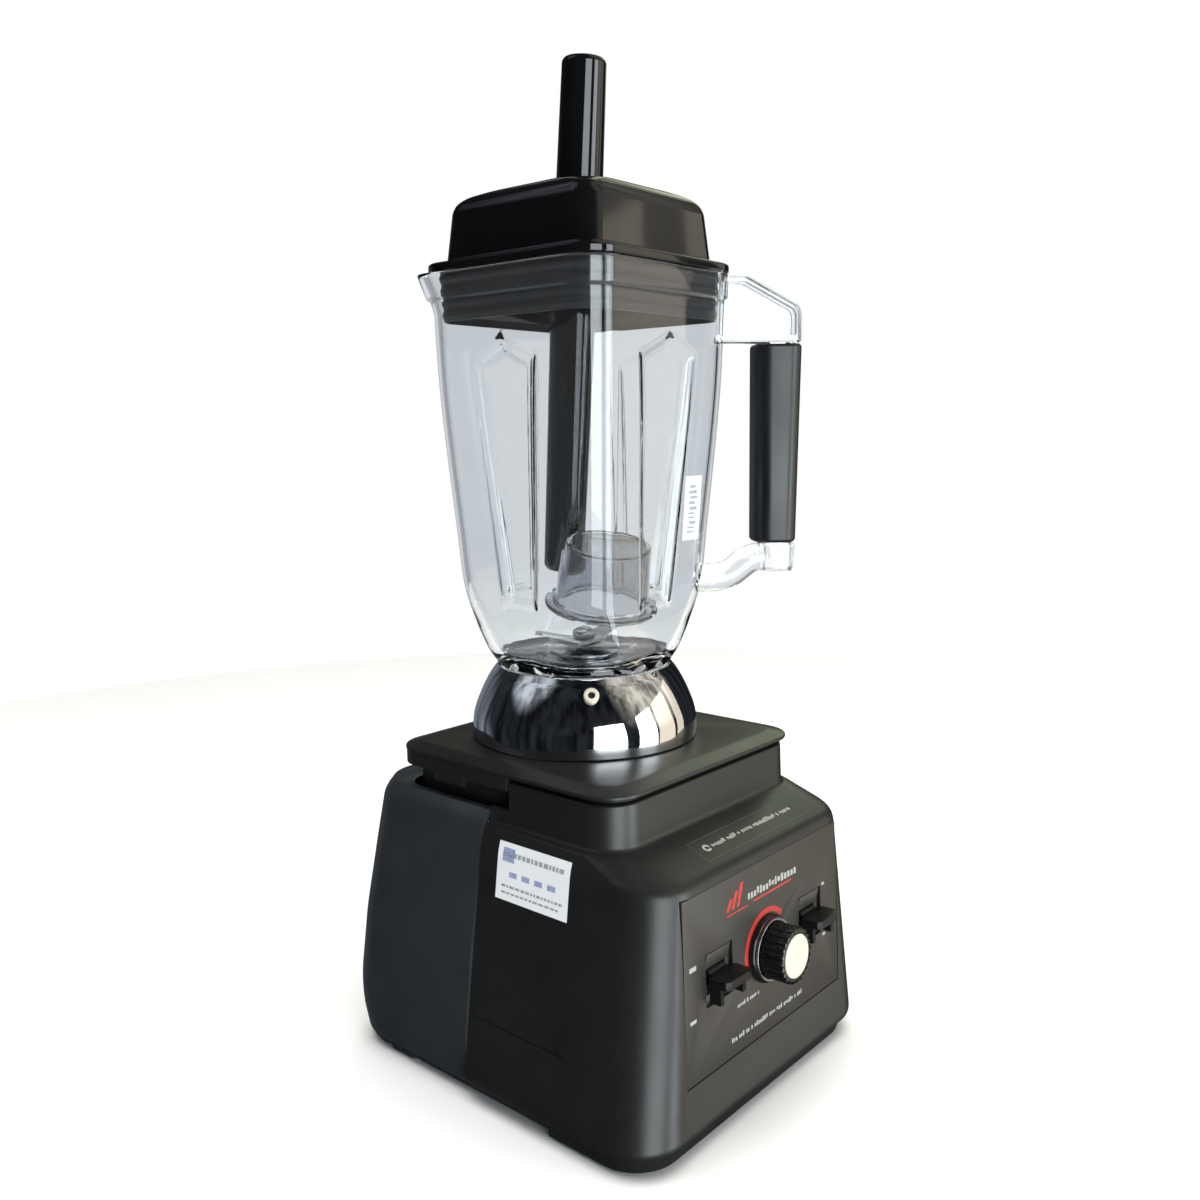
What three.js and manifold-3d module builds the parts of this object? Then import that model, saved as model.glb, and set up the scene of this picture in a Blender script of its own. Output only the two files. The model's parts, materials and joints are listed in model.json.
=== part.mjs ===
// Countertop blender: motor base, square jug with collar and blades, lid, tamper and measuring cup.
// Millimetres, +Z up. X runs left to right seen from the control panel, the panel faces -Y, and the
// origin is on the drive axis at the height of the surface that the feet stand on.
import * as THREE from 'three';
import { mergeVertices } from 'three/addons/utils/BufferGeometryUtils.js';
import Module from 'manifold-3d';

const wasm = await Module();
wasm.setup();

// ---------------------------------------------------------------- driving dimensions
const GAP = 0.3;                 // clearance between pieces that touch
const WALL = 3;                  // moulded housing wall

const BASE = {
  sideBottom: 7,                 // lower edge of both housings between the feet
  seamY: -5,                     // joint between front and rear housing
  backFace: 101.4,               // outside of the rear housing at the height of the cord gland
  backFittingZ: 30,              // height of the cord gland and of the overload breaker
  backFittingX: 50,              // their distance from the middle
};
// Outer half-width and front or back position of the two housings at each height.
const FRONT_SECTIONS = [
  { z: 2, half: 104.5, front: -126.5, corner: 27 },
  { z: 12, half: 105.5, front: -129, corner: 27 },
  { z: 20, half: 106, front: -129.5, corner: 27 },
  { z: 137, half: 90.5, front: -125.2, corner: 27 },
  { z: 147, half: 88, front: -97, corner: 22 },
  { z: 148.5, half: 83.2, front: -91.8, corner: 20 },
  { z: 174.6, half: 82.8, front: -91.3, corner: 20 },
];
const REAR_SECTIONS = [
  { z: 7, half: 101.5, back: 99, corner: 28 },
  { z: 24, half: 104, back: 101.6, corner: 28 },
  { z: 40, half: 104.2, back: 102, corner: 28 },
  { z: 80, half: 99.5, back: 100.8, corner: 28 },
  { z: 120, half: 92.8, back: 98, corner: 28 },
  { z: 150, half: 88, back: 95, corner: 28 },
  { z: 155, half: 85.5, back: 92.5, corner: 26 },
];
const CAP = { half: 85, front: -93.5, back: 74, bottom: 174.9, top: 180, rimBottom: 168, rimFront: -19,
  wellRadius: 22 };
const FLOOR_PLATE = { half: 99, front: -121, back: 96, corner: 24, bottom: 3.5, top: 6.5 };
const SCREW_PLACES = [[-70, -84], [70, -84], [-70, 66], [70, 66]];
const FOOT_PLACES = {
  front_left: [-87, -88],
  front_right: [87, -88],
  rear_left: [-87, 57],
  rear_right: [87, 57],
};
const PAD = { half: 38, shoulder: 190, top: 193, boreRadius: 20 };
const PANEL = { half: 73.8, bottom: 38.6, top: 132.7, thickness: 2, recess: 0.6 };
const SWITCH = { spacing: 44, width: 23.5, height: 27, z: 86.4 };
const PADDLE_AXIS_Y = 5.4;       // depth of the paddles' axis behind the panel face
const KNOB = { z: 84, skirtRadius: 18, radius: 14.6, length: 17.5, capRadius: 11.4 };

const COLLAR = { radius: 65.4, bottom: 180.6, top: 222 };
const JUG = { rim: 443, holeRadius: 17.2 };
const SPOUT = { distance: 68, lowRadius: 8, highRadius: 23.5, wall: 3, foot: 422 };
const JUG_OUTER = [
  { z: 206, half: 45.8, corner: 45.4 },
  { z: 222.4, half: 45.8, corner: 45.4 },
  { z: 222.8, half: 49.6, corner: 48.6 },
  { z: 230, half: 50.5, corner: 40 },
  { z: 238, half: 51.2, corner: 33 },
  { z: 246, half: 52, corner: 28 },
  { z: 267, half: 54.6, corner: 21 },
  { z: 296, half: 56.7, corner: 20 },
  { z: 375, half: 62.3, corner: 20 },
  { z: 428, half: 64.2, corner: 20 },
  { z: 430, half: 65.8, corner: 21 },
  { z: 443, half: 66.2, corner: 21 },
];
const JUG_INNER = [
  { z: 226, half: 40, corner: 36 },
  { z: 232, half: 45.8, corner: 34 },
  { z: 246, half: 48.5, corner: 26 },
  { z: 267, half: 51.1, corner: 18 },
  { z: 296, half: 53.2, corner: 17 },
  { z: 375, half: 58.8, corner: 17 },
  { z: 444, half: 61.6, corner: 17 },
];
const FLUTE = { apex: 408, shoulder: 397, foot: 262, topHalf: 25, footHalf: 13, depth: 1.6 };
const HANDLE = { thickness: 18, gripInner: 98.9, gripOuterTop: 126.3, gripOuterFoot: 123.2, gripHalf: 14.5,
  gripBottom: 290.7, gripTop: 403.8, coreInner: 106, coreOuter: 119 };
const LID = { flangeBottom: 443.4, flangeTop: 448.5, flangeHalf: 66, wellFloor: 484, wellRadius: 31.5,
  holeRadius: 23.5, sleeveWall: 2.6, sleeveBottom: 464, top: 488.8 };
const TAMPER = { topRadius: 12.4, radius: 13.2, lowRadius: 13.4, tipRadius: 11, above: 76.2, below: 210.4,
  flangeRadius: 25.2, leanDeg: 4.6, leanHeadingDeg: 83 };
const CUP = { flangeRadius: 31, mouthRadius: 25.6, endRadius: 23.6, height: 37, wall: 2.2,
  place: [-5.5, -18, 257.5], tiltDeg: 13 };
const BLADE = { tipRadius: 36, thickness: 1.8, rootWidth: 15, tipWidth: 7 };
const SHAFT = { motorRadius: 5, bladeRadius: 4, splineInner: 6.4, splineOuter: 8.2 };
const STATOR = { half: 50, bottom: 70, top: 118, boreRadius: 29.5 };

// ---------------------------------------------------------------- materials
function material(color, roughness, metalness, opacity = 1) {
  return new THREE.MeshStandardMaterial({ color, roughness, metalness, opacity, transparent: opacity < 1 });
}
const FINISH = {
  housing: material(0x3a3a35, 0.5, 0),
  panel: material(0x37362f, 0.55, 0),
  glossBlack: material(0x0c0c0d, 0.12, 0),
  satinBlack: material(0x17181a, 0.45, 0),
  rubber: material(0x131313, 0.85, 0),
  greyPlastic: material(0x6d6c68, 0.5, 0),
  chrome: material(0xd8dadc, 0.08, 1),
  steel: material(0xaeb0b2, 0.3, 1),
  ivory: material(0xe9e4d6, 0.35, 0),
  clear: material(0xcfd6da, 0.06, 0, 0.3),
  smoke: material(0x9aa4ad, 0.08, 0, 0.4),
  laminations: material(0x55585c, 0.45, 0.8),
  copper: material(0xa4552a, 0.35, 1),
  castAluminium: material(0x9c9fa2, 0.45, 0.9),
  carbon: material(0x26262a, 0.7, 0.1),
  board: material(0x1f5a38, 0.5, 0),
  seal: material(0x2c2c2e, 0.6, 0),
};

// ---------------------------------------------------------------- outlines and solids
function roundedRect(left, right, front, back, radius, steps = 4) {
  const corners = [
    [right - radius, front + radius, -90],
    [right - radius, back - radius, 0],
    [left + radius, back - radius, 90],
    [left + radius, front + radius, 180],
  ];
  const points = [];
  for (const [x, y, start] of corners) {
    for (let step = 0; step <= steps; step += 1) {
      const angle = THREE.MathUtils.degToRad(start + (90 * step) / steps);
      points.push(new THREE.Vector2(x + radius * Math.cos(angle), y + radius * Math.sin(angle)));
    }
  }
  return points;
}

function roundedSquare(half, radius, steps = 4) {
  return roundedRect(-half, half, -half, half, radius, steps);
}

function lobedOutline(inner, outer, lobes) {
  const points = [];
  for (let index = 0; index < lobes * 4; index += 1) {
    const radius = index % 4 < 2 ? outer : inner;
    const angle = (index * Math.PI) / (lobes * 2);
    points.push(new THREE.Vector2(radius * Math.cos(angle), radius * Math.sin(angle)));
  }
  return points;
}

function middleOf(points) {
  const middle = new THREE.Vector2();
  points.forEach((point) => middle.add(point));
  return middle.divideScalar(points.length);
}

// A closed solid through a stack of outlines, made by bending a cylinder onto them.
function loft(sections) {
  const sides = sections[0].outline.length;
  const steps = sections.length - 1;
  const geometry = new THREE.CylinderGeometry(1, 1, steps, sides, steps).rotateX(Math.PI / 2);
  const position = geometry.attributes.position;
  for (let index = 0; index < position.count; index += 1) {
    const section = sections[Math.round(position.getZ(index) + steps / 2)];
    const reach = Math.hypot(position.getX(index), position.getY(index));
    const turn = Math.atan2(position.getX(index), -position.getY(index)) / (2 * Math.PI);
    const side = (Math.round(turn * sides) + sides) % sides;
    const middle = middleOf(section.outline);
    const point = reach > 0.5 ? section.outline[side] : middle;
    position.setXYZ(index, point.x, point.y, section.z);
  }
  return geometry;
}

function squareLoft(sections, steps = 4) {
  return loft(sections.map(({ z, half, corner }) => ({ z, outline: roundedSquare(half, corner, steps) })));
}

function prism(points, bottom, top, holes = []) {
  const shape = new THREE.Shape(points);
  holes.forEach((hole) => shape.holes.push(new THREE.Path(hole)));
  const settings = { depth: top - bottom, bevelEnabled: false, curveSegments: 8 };
  return new THREE.ExtrudeGeometry(shape, settings).translate(0, 0, bottom);
}

function block(left, right, front, back, bottom, top) {
  const geometry = new THREE.BoxGeometry(right - left, back - front, top - bottom);
  return geometry.translate((left + right) / 2, (front + back) / 2, (bottom + top) / 2);
}

function rod(radius, bottom, top, sides = 24) {
  const geometry = new THREE.CylinderGeometry(radius, radius, top - bottom, sides).rotateX(Math.PI / 2);
  return geometry.translate(0, 0, (bottom + top) / 2);
}

function cone(lowRadius, highRadius, bottom, top, sides = 24) {
  const geometry = new THREE.CylinderGeometry(highRadius, lowRadius, top - bottom, sides);
  return geometry.rotateX(Math.PI / 2).translate(0, 0, (bottom + top) / 2);
}

// A turned solid: the profile's outer wall runs upwards, as [radius, height] pairs.
function turned(profile, sides = 28) {
  const points = profile.map(([radius, height]) => new THREE.Vector2(radius, height));
  return new THREE.LatheGeometry(points, sides).rotateX(Math.PI / 2);
}

function ring(inner, outer, bottom, top, sides = 24) {
  return turned([[inner, bottom], [outer, bottom], [outer, top], [inner, top], [inner, bottom]], sides);
}

function solidOf(geometry) {
  const bare = geometry.clone();
  bare.deleteAttribute('normal');
  bare.deleteAttribute('uv');
  const merged = mergeVertices(bare, 1e-4);
  const corners = [];
  for (let index = 0; index < merged.index.count; index += 3) {
    const [a, b, c] = [0, 1, 2].map((offset) => merged.index.getX(index + offset));
    if (a !== b && b !== c && c !== a) corners.push(a, b, c);
  }
  return new wasm.Manifold(new wasm.Mesh({
    numProp: 3,
    vertProperties: new Float32Array(merged.attributes.position.array),
    triVerts: new Uint32Array(corners),
  }));
}

function geometryOf(solid) {
  const mesh = solid.getMesh();
  const geometry = new THREE.BufferGeometry();
  geometry.setAttribute('position', new THREE.BufferAttribute(mesh.vertProperties, 3));
  geometry.setIndex(new THREE.BufferAttribute(mesh.triVerts, 1));
  geometry.computeVertexNormals();
  return geometry;
}

function joined(first, ...others) {
  return geometryOf(others.reduce((solid, other) => solid.add(solidOf(other)), solidOf(first)));
}

function cutFrom(base, ...tools) {
  return geometryOf(tools.reduce((solid, tool) => solid.subtract(solidOf(tool)), solidOf(base)));
}

function overlapOf(first, second) {
  return geometryOf(solidOf(first).intersect(solidOf(second)));
}

const blender = new THREE.Group();

function addPart(name, geometry, finish, parent = blender) {
  const mesh = new THREE.Mesh(geometry, finish);
  mesh.name = name;
  parent.add(mesh);
  return mesh;
}

// ---------------------------------------------------------------- motor base housings
function grown(sections, amount) {
  return sections.map((section) => ({
    ...section,
    half: section.half + amount,
    corner: section.corner + amount,
    front: section.front - amount,
    back: section.back + amount,
  }));
}

const PAST_SEAM = 45;            // how far each housing's blank runs past the joint before it is trimmed

function frontLoft(sections) {
  const joinBack = BASE.seamY + PAST_SEAM;
  return loft(sections.map(({ z, half, front, corner }) => (
    { z, outline: roundedRect(-half, half, front, joinBack, corner) })));
}

function rearLoft(sections) {
  const joinFront = BASE.seamY - PAST_SEAM;
  return loft(sections.map(({ z, half, back, corner }) => (
    { z, outline: roundedRect(-half, half, joinFront, back, corner) })));
}

// The panel face leans back by this angle towards its top.
const facePlane = FRONT_SECTIONS.slice(2, 4);
const LEAN = Math.atan2(facePlane[1].front - facePlane[0].front, facePlane[1].z - facePlane[0].z);
const panelMiddleZ = (PANEL.bottom + PANEL.top) / 2;
const panelFaceY = facePlane[0].front + (panelMiddleZ - facePlane[0].z) * Math.tan(LEAN);

// In the panel's own frame x is across, z is up the face and -y points out of it.
const panelGroup = new THREE.Group();
panelGroup.position.set(0, panelFaceY, panelMiddleZ);
panelGroup.rotation.x = -LEAN;
blender.add(panelGroup);
panelGroup.updateMatrix();

function inBaseFrame(geometry) {
  return geometry.clone().applyMatrix4(panelGroup.matrix);
}

function outOfPanel(geometry) {
  return geometry.rotateX(Math.PI / 2);
}

const halfPanelHeight = (PANEL.top - PANEL.bottom) / 2;
const switchZ = SWITCH.z - panelMiddleZ;
const knobZ = KNOB.z - panelMiddleZ;

function makeFrontHousing() {
  const inner = grown(FRONT_SECTIONS, -WALL).map((section, index) => {
    const lift = index >= 3 && index <= 5 ? -WALL : 0;
    return { ...section, z: section.z + lift };
  });
  inner[0].z -= WALL;
  inner[inner.length - 1].z += WALL;
  const rim = 3.5;
  const pocket = block(-PANEL.half, PANEL.half, -5, PANEL.recess + PANEL.thickness + GAP,
    -halfPanelHeight, halfPanelHeight);
  const window = block(-PANEL.half + rim, PANEL.half - rim, -5, 15,
    -halfPanelHeight + rim, halfPanelHeight - rim);
  return cutFrom(
    frontLoft(FRONT_SECTIONS),
    frontLoft(inner),
    block(-200, 200, BASE.seamY - GAP / 2, 200, -10, 300),
    block(-200, 200, -62, 0, -10, BASE.sideBottom),
    block(-200, 200, CAP.rimFront - GAP, 0, 157, 200),
    inBaseFrame(pocket),
    inBaseFrame(window),
  );
}

function alongBack(geometry) {
  return geometry.rotateX(-Math.PI / 2);
}

function makeRearHousing() {
  const inner = grown(REAR_SECTIONS, -WALL);
  inner[0].z -= WALL;
  inner.pop();
  inner[inner.length - 1].z += 2;
  const deckOpening = prism(roundedRect(-79.5, 79.5, -60, 70, 14), 140, 170);
  const slots = [];
  const pitch = 9;
  for (let row = 0; row < 6; row += 1) {
    const bottom = 60 + row * pitch;
    slots.push(block(-38, 38, 80, 120, bottom, bottom + 4));
  }
  const rearHole = (x, radius) => alongBack(rod(radius, 80, 125, 20)).translate(x, 0, BASE.backFittingZ);
  return cutFrom(
    rearLoft(REAR_SECTIONS),
    rearLoft(inner),
    block(-200, 200, -200, BASE.seamY + GAP / 2, -10, 300),
    deckOpening,
    ...slots,
    rearHole(-BASE.backFittingX, 6),
    rearHole(BASE.backFittingX, 6.2),
  );
}

function makeTopCap() {
  const insetOutline = (inset, corner) => roundedRect(
    -CAP.half + inset,
    CAP.half - inset,
    CAP.front + inset,
    CAP.back - inset,
    corner,
  );
  const slab = loft([
    { z: CAP.bottom, outline: insetOutline(1.2, 19) },
    { z: CAP.bottom + 1, outline: insetOutline(0, 20) },
    { z: CAP.bottom + 2.4, outline: insetOutline(0, 20) },
    { z: CAP.top, outline: insetOutline(10, 13) },
  ]);
  // A wall that hangs below the slab round its back and sides and reaches 0.5 mm up into it.
  const bandTop = CAP.bottom + 0.5;
  const hangingWall = (inset, bottom, radius) => cutFrom(
    prism(insetOutline(inset, radius), bottom, bandTop),
    prism(insetOutline(inset + WALL, radius - WALL), bottom - 1, bandTop - 1e-3),
    block(-200, 200, -200, CAP.rimFront + GAP, 0, 300),
  );
  const rim = hangingWall(0.6, CAP.rimBottom, 19);
  const intakeWall = hangingWall(8.5, 149, 13);
  const tabX = CAP.half - 1.4;
  const tabBottom = CAP.rimBottom - 4.5;
  const tab = (side) => block(side * tabX - 1, side * tabX + 1, 14, 38, tabBottom, CAP.rimBottom + 1);
  return cutFrom(joined(slab, rim, intakeWall, tab(-1), tab(1)), rod(CAP.wellRadius, 150, 200, 28));
}

function makeBasePlate() {
  const { half, front, back, corner, bottom, top } = FLOOR_PLATE;
  const plate = prism(roundedRect(-half, half, front, back, corner), bottom, top);
  const vents = [];
  for (let index = 0; index < 10; index += 1) {
    const vent = block(27, 45, -3, 3, 0, 10);
    vents.push(vent.rotateZ((index * Math.PI) / 5));
  }
  const screwHoles = SCREW_PLACES.map(([x, y]) => rod(2.6, 0, 10, 12).translate(x, y, 0));
  return cutFrom(plate, ...vents, ...screwHoles);
}

addPart('base_plate', makeBasePlate(), FINISH.housing);
addPart('front_housing', makeFrontHousing(), FINISH.housing);
addPart('rear_housing', makeRearHousing(), FINISH.housing);
addPart('top_cap', makeTopCap(), FINISH.housing);

for (const [corner, [x, y]] of Object.entries(FOOT_PLACES)) {
  const foot = loft([
    { z: 0, outline: roundedRect(-10, 10, -10.5, 10.5, 4, 3) },
    { z: 1, outline: roundedRect(-11, 11, -11.5, 11.5, 5, 3) },
    { z: FLOOR_PLATE.bottom - GAP, outline: roundedRect(-11, 11, -11.5, 11.5, 5, 3) },
  ]);
  addPart(`foot_${corner}`, foot, FINISH.rubber).position.set(x, y, 0);
}

SCREW_PLACES.forEach(([x, y], index) => {
  const screw = turned([[0, 1], [3.2, 1], [4.2, 1.8], [4.2, 3.2], [2.2, 3.2], [2.2, 14], [0, 14]], 12);
  addPart(`base_screw_${index + 1}`, screw, FINISH.steel).position.set(x, y, 0);
});

addPart('centering_pad', cutFrom(
  squareLoft([
    { z: CAP.top + GAP, half: PAD.half, corner: 14 },
    { z: PAD.shoulder, half: PAD.half, corner: 14 },
    { z: PAD.top, half: PAD.half - 3, corner: 12 },
  ]),
  rod(PAD.boreRadius, 150, 200, 28),
), FINISH.rubber);

// ---------------------------------------------------------------- control panel
function switchHole(side) {
  const hole = new THREE.BoxGeometry(SWITCH.width, 15, SWITCH.height);
  return hole.translate(side * SWITCH.spacing, 2.5, switchZ);
}

const panelPlate = block(-PANEL.half + GAP, PANEL.half - GAP, PANEL.recess, PANEL.recess + PANEL.thickness,
  -halfPanelHeight + GAP, halfPanelHeight - GAP);
addPart('control_panel', cutFrom(
  panelPlate,
  switchHole(-1),
  switchHole(1),
  outOfPanel(rod(4, -10, 10, 16)).translate(0, 0, knobZ),
), FINISH.panel, panelGroup);

function makeSwitchBody() {
  const flange = block(-14, 14, 2.9, 4.9, -16, 16);
  const box = block(-10, 10, 4.5, 26, -12, 12);
  const slot = block(-8.2, 8.2, -1, 12, -9, 9);
  return cutFrom(joined(flange, box), slot);
}

// A wide lever on a drum that turns inside the switch, with a cheek below each end.
function makePaddle() {
  const outline = [[-11, -0.6], [-7.4, -0.6], [-7.4, 5.4], [7.4, 5.4], [7.4, -0.6], [11, -0.6], [11, -10],
    [8.5, -12], [-8.5, -12], [-11, -10]].map(([x, y]) => new THREE.Vector2(x, y)).reverse();
  const cheek = (side) => block(side * 9.6 - 1.4, side * 9.6 + 1.4, -7.5, -0.6, -10.5, 0);
  const drum = new THREE.CylinderGeometry(4.6, 4.6, 14.8, 14).rotateZ(Math.PI / 2);
  drum.translate(0, PADDLE_AXIS_Y, 0);
  return joined(prism(outline, -2, 2.2), cheek(-1), cheek(1), drum);
}

for (const [name, side] of [['power', -1], ['pulse', 1]]) {
  const place = [side * SWITCH.spacing, 0, switchZ];
  addPart(`${name}_switch_body`, makeSwitchBody(), FINISH.greyPlastic, panelGroup).position.set(...place);
  addPart(`${name}_paddle`, makePaddle(), FINISH.glossBlack, panelGroup).position.set(...place);
}

const KNOB_FOOT_Y = PANEL.recess - 0.4;

function makeKnob() {
  const skirt = cone(KNOB.skirtRadius, KNOB.skirtRadius - 0.8, 0, 2.6, 32);
  const grip = prism(lobedOutline(KNOB.radius - 1, KNOB.radius, 12), 0, KNOB.length);
  const spindle = rod(3, -9, 1, 16);
  const seat = rod(KNOB.capRadius + 0.4, KNOB.length - 1.2, KNOB.length + 5, 24);
  return outOfPanel(cutFrom(joined(skirt, grip, spindle), seat)).translate(0, KNOB_FOOT_Y, knobZ);
}

addPart('speed_knob', makeKnob(), FINISH.satinBlack, panelGroup);
addPart('knob_ring', outOfPanel(ring(KNOB.radius + GAP, KNOB.skirtRadius - 1.6, 3, 4.4, 28))
  .translate(0, KNOB_FOOT_Y, knobZ), FINISH.chrome, panelGroup);
addPart('knob_cap', outOfPanel(rod(KNOB.capRadius, KNOB.length - 0.9, KNOB.length + 0.6, 24))
  .translate(0, KNOB_FOOT_Y, knobZ), FINISH.ivory, panelGroup);
addPart('potentiometer', outOfPanel(ring(3.4, 12, -13, -3.3, 20))
  .translate(0, 0, knobZ), FINISH.castAluminium, panelGroup);

// ---------------------------------------------------------------- electrics inside the base
addPart('speed_control_board', block(-55, 55, -90, -88.4, 25, 118), FINISH.board);

function makeHeatSink() {
  const fins = [];
  const pitch = 7.5;
  for (let index = 0; index < 6; index += 1) {
    const left = -20 + index * pitch;
    fins.push(block(left, left + 2.5, -85, -70, 66, 112));
  }
  return joined(block(-20, 20, -88, -84.5, 66, 112), ...fins);
}
addPart('heat_sink', makeHeatSink(), FINISH.castAluminium);

const glandPlace = [-BASE.backFittingX, BASE.backFace, BASE.backFittingZ];
const breakerPlace = [BASE.backFittingX, BASE.backFace, BASE.backFittingZ];
addPart('cord_gland', alongBack(turned([
  [3.8, -8], [5.6, -8], [5.6, 2], [9.5, 2], [8.6, 5], [3.8, 5], [3.8, -8],
], 20)).translate(...glandPlace), FINISH.rubber);
addPart('overload_breaker', alongBack(turned([
  [0, -24], [8.5, -24], [8.5, -6], [5.8, -6], [5.8, 1.6], [4, 1.6], [4, -3], [0, -3],
], 20)).translate(...breakerPlace), FINISH.satinBlack);
addPart('reset_button', alongBack(turned([
  [0, 0], [3.6, 0], [3.6, 4.6], [2.6, 5.4], [0, 5.6],
], 18)).translate(...breakerPlace), FINISH.satinBlack);

// ---------------------------------------------------------------- motor
function makeStator() {
  const slots = [];
  for (const sideX of [-1, 1]) {
    for (const sideY of [-1, 1]) {
      slots.push(new THREE.BoxGeometry(13, 12.6, 70).translate(sideX * 35.5, sideY * 32, 95));
    }
  }
  return cutFrom(prism(roundedSquare(STATOR.half, 24), STATOR.bottom, STATOR.top),
    rod(STATOR.boreRadius, 60, 130, 28), ...slots);
}
addPart('stator_core', makeStator(), FINISH.laminations);

function makeFieldCoil(side) {
  const outer = roundedRect(-38, 38, 59.5, 128.5, 12, 3);
  const inner = roundedRect(-26, 26, STATOR.bottom - GAP, STATOR.top + GAP, 0.5, 1);
  const coil = prism(outer, 30, 41.7, [inner]);
  coil.rotateX(Math.PI / 2).rotateZ(Math.PI / 2);
  return side > 0 ? coil : coil.rotateZ(Math.PI);
}
addPart('field_coil_right', makeFieldCoil(1), FINISH.copper);
addPart('field_coil_left', makeFieldCoil(-1), FINISH.copper);

addPart('upper_motor_bracket', turned([
  [6.5, 143], [55, 143], [55, 147], [19, 149], [17, 160], [13.3, 160], [13.3, 149.5], [6.5, 149.5],
  [6.5, 143],
]), FINISH.castAluminium);
addPart('upper_motor_bearing', ring(5.3, 13, 150, 158), FINISH.steel);
addPart('lower_motor_bracket', turned([
  [6.5, 36.6], [11.4, 36.6], [11.4, 30], [15, 30], [17, 38], [55, 40], [55, 44], [6.5, 44], [6.5, 36.6],
]), FINISH.castAluminium);
addPart('lower_motor_bearing', ring(5.3, 11.1, 30.4, 36.2, 20), FINISH.steel);
addPart('fan_shroud', turned([
  [49, 7], [52, 7], [52, 28.6], [30, 28.6], [30, 26.6], [49, 26.6], [49, 7],
]), FINISH.satinBlack);

for (const [name, side] of [['left', -1], ['right', 1]]) {
  const turn = side > 0 ? 0 : Math.PI;
  const holder = cutFrom(block(20, 44, -7, 7, 44.3, 59), block(10, 50, -4, 4, 47, 56.6));
  addPart(`brush_holder_${name}`, holder.rotateZ(turn), FINISH.castAluminium);
  addPart(`carbon_brush_${name}`, block(15.4, 38, -3.7, 3.7, 47.3, 56.3).rotateZ(turn), FINISH.carbon);
}

addPart('motor_shaft', rod(SHAFT.motorRadius, 11, 181.4, 20), FINISH.steel);
addPart('armature_core', cutFrom(
  turned([[0, 64], [20, 64], [24, 71], [28.6, 72], [28.6, 116], [24, 117], [20, 128], [0, 128]], 24),
  rod(SHAFT.motorRadius + GAP, 60, 130, 20),
), FINISH.laminations);
addPart('commutator', ring(SHAFT.motorRadius + GAP, 15, 45.5, 63.6, 24), FINISH.copper);

function makeFan() {
  const blades = [];
  for (let index = 0; index < 8; index += 1) {
    blades.push(block(7, 45, -1, 1, 13, 24).rotateZ((index * Math.PI) / 4));
  }
  const wheel = joined(rod(46, 12, 14, 28), rod(9, 13, 25, 20), ...blades);
  return cutFrom(wheel, rod(SHAFT.motorRadius + GAP, 0, 40, 20));
}
addPart('cooling_fan', makeFan(), FINISH.satinBlack);

addPart('drive_socket', cutFrom(
  turned([[0, 181.8], [12, 181.8], [14, 184], [14, 198], [13, 199.4], [0, 199.4]], 24),
  prism(lobedOutline(SHAFT.splineInner + 0.5, SHAFT.splineOuter + 0.5, 6), 185, 205),
), FINISH.steel);

// ---------------------------------------------------------------- jug assembly
const handleHeading = -Math.PI / 4;
const alongHandle = (geometry) => geometry.rotateZ(handleHeading);

function makeFlute(quarter) {
  const face = [
    [-FLUTE.topHalf, FLUTE.shoulder], [-FLUTE.footHalf, FLUTE.foot], [FLUTE.footHalf, FLUTE.foot],
    [FLUTE.topHalf, FLUTE.shoulder], [0, FLUTE.apex],
  ].map(([x, y]) => new THREE.Vector2(x, y));
  const cutter = prism(face, 0, 20).rotateX(Math.PI / 2);
  const [low, high] = [JUG_OUTER[6], JUG_OUTER[9]];
  const slope = Math.atan2(high.half - low.half, high.z - low.z);
  cutter.translate(0, 0, -FLUTE.foot).rotateX(slope);
  cutter.translate(0, -low.half + 0.3 + FLUTE.depth, FLUTE.foot);
  return cutter.rotateZ((quarter * Math.PI) / 2);
}

function makeHandleFrame() {
  const outline = [
    [60, 408], [80, 443], [94.1, 443.6], [124.4, 425.7], [126.2, 421.7], [126.3, 404.4],
    [HANDLE.coreOuter, 404.4], [HANDLE.coreOuter, 290.2], [122.8, 290.2], [121.6, 273.4], [103.7, 273.2],
    [88.9, 261.7], [83.6, 259.4], [55, 259.2], [55, 279.8], [74.7, 279.8], [90, 290.2],
    [HANDLE.coreInner, 290.2], [HANDLE.coreInner, 404.4], [60, 404.4],
  ].map(([x, y]) => new THREE.Vector2(x, y)).reverse();
  const frame = prism(outline, -HANDLE.thickness / 2, HANDLE.thickness / 2).rotateX(Math.PI / 2);
  return alongHandle(frame);
}

function makeJug() {
  const { distance, lowRadius, highRadius, wall, foot } = SPOUT;
  const atSpout = (geometry) => geometry.translate(distance, 0, 0).rotateZ((3 * Math.PI) / 4);
  const spout = atSpout(cone(lowRadius, highRadius, foot, JUG.rim, 20));
  const channel = atSpout(cone(lowRadius - wall, highRadius - wall, foot + 5, JUG.rim + 1, 20));
  const flutes = [0, 1, 2, 3].map(makeFlute);
  return cutFrom(
    joined(squareLoft(JUG_OUTER), spout, makeHandleFrame()),
    squareLoft(JUG_INNER),
    channel,
    ...flutes,
    rod(JUG.holeRadius, 190, 240, 24),
    rod(30, 190, 213, 28),
  );
}
addPart('jug', makeJug(), FINISH.clear);

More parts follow.
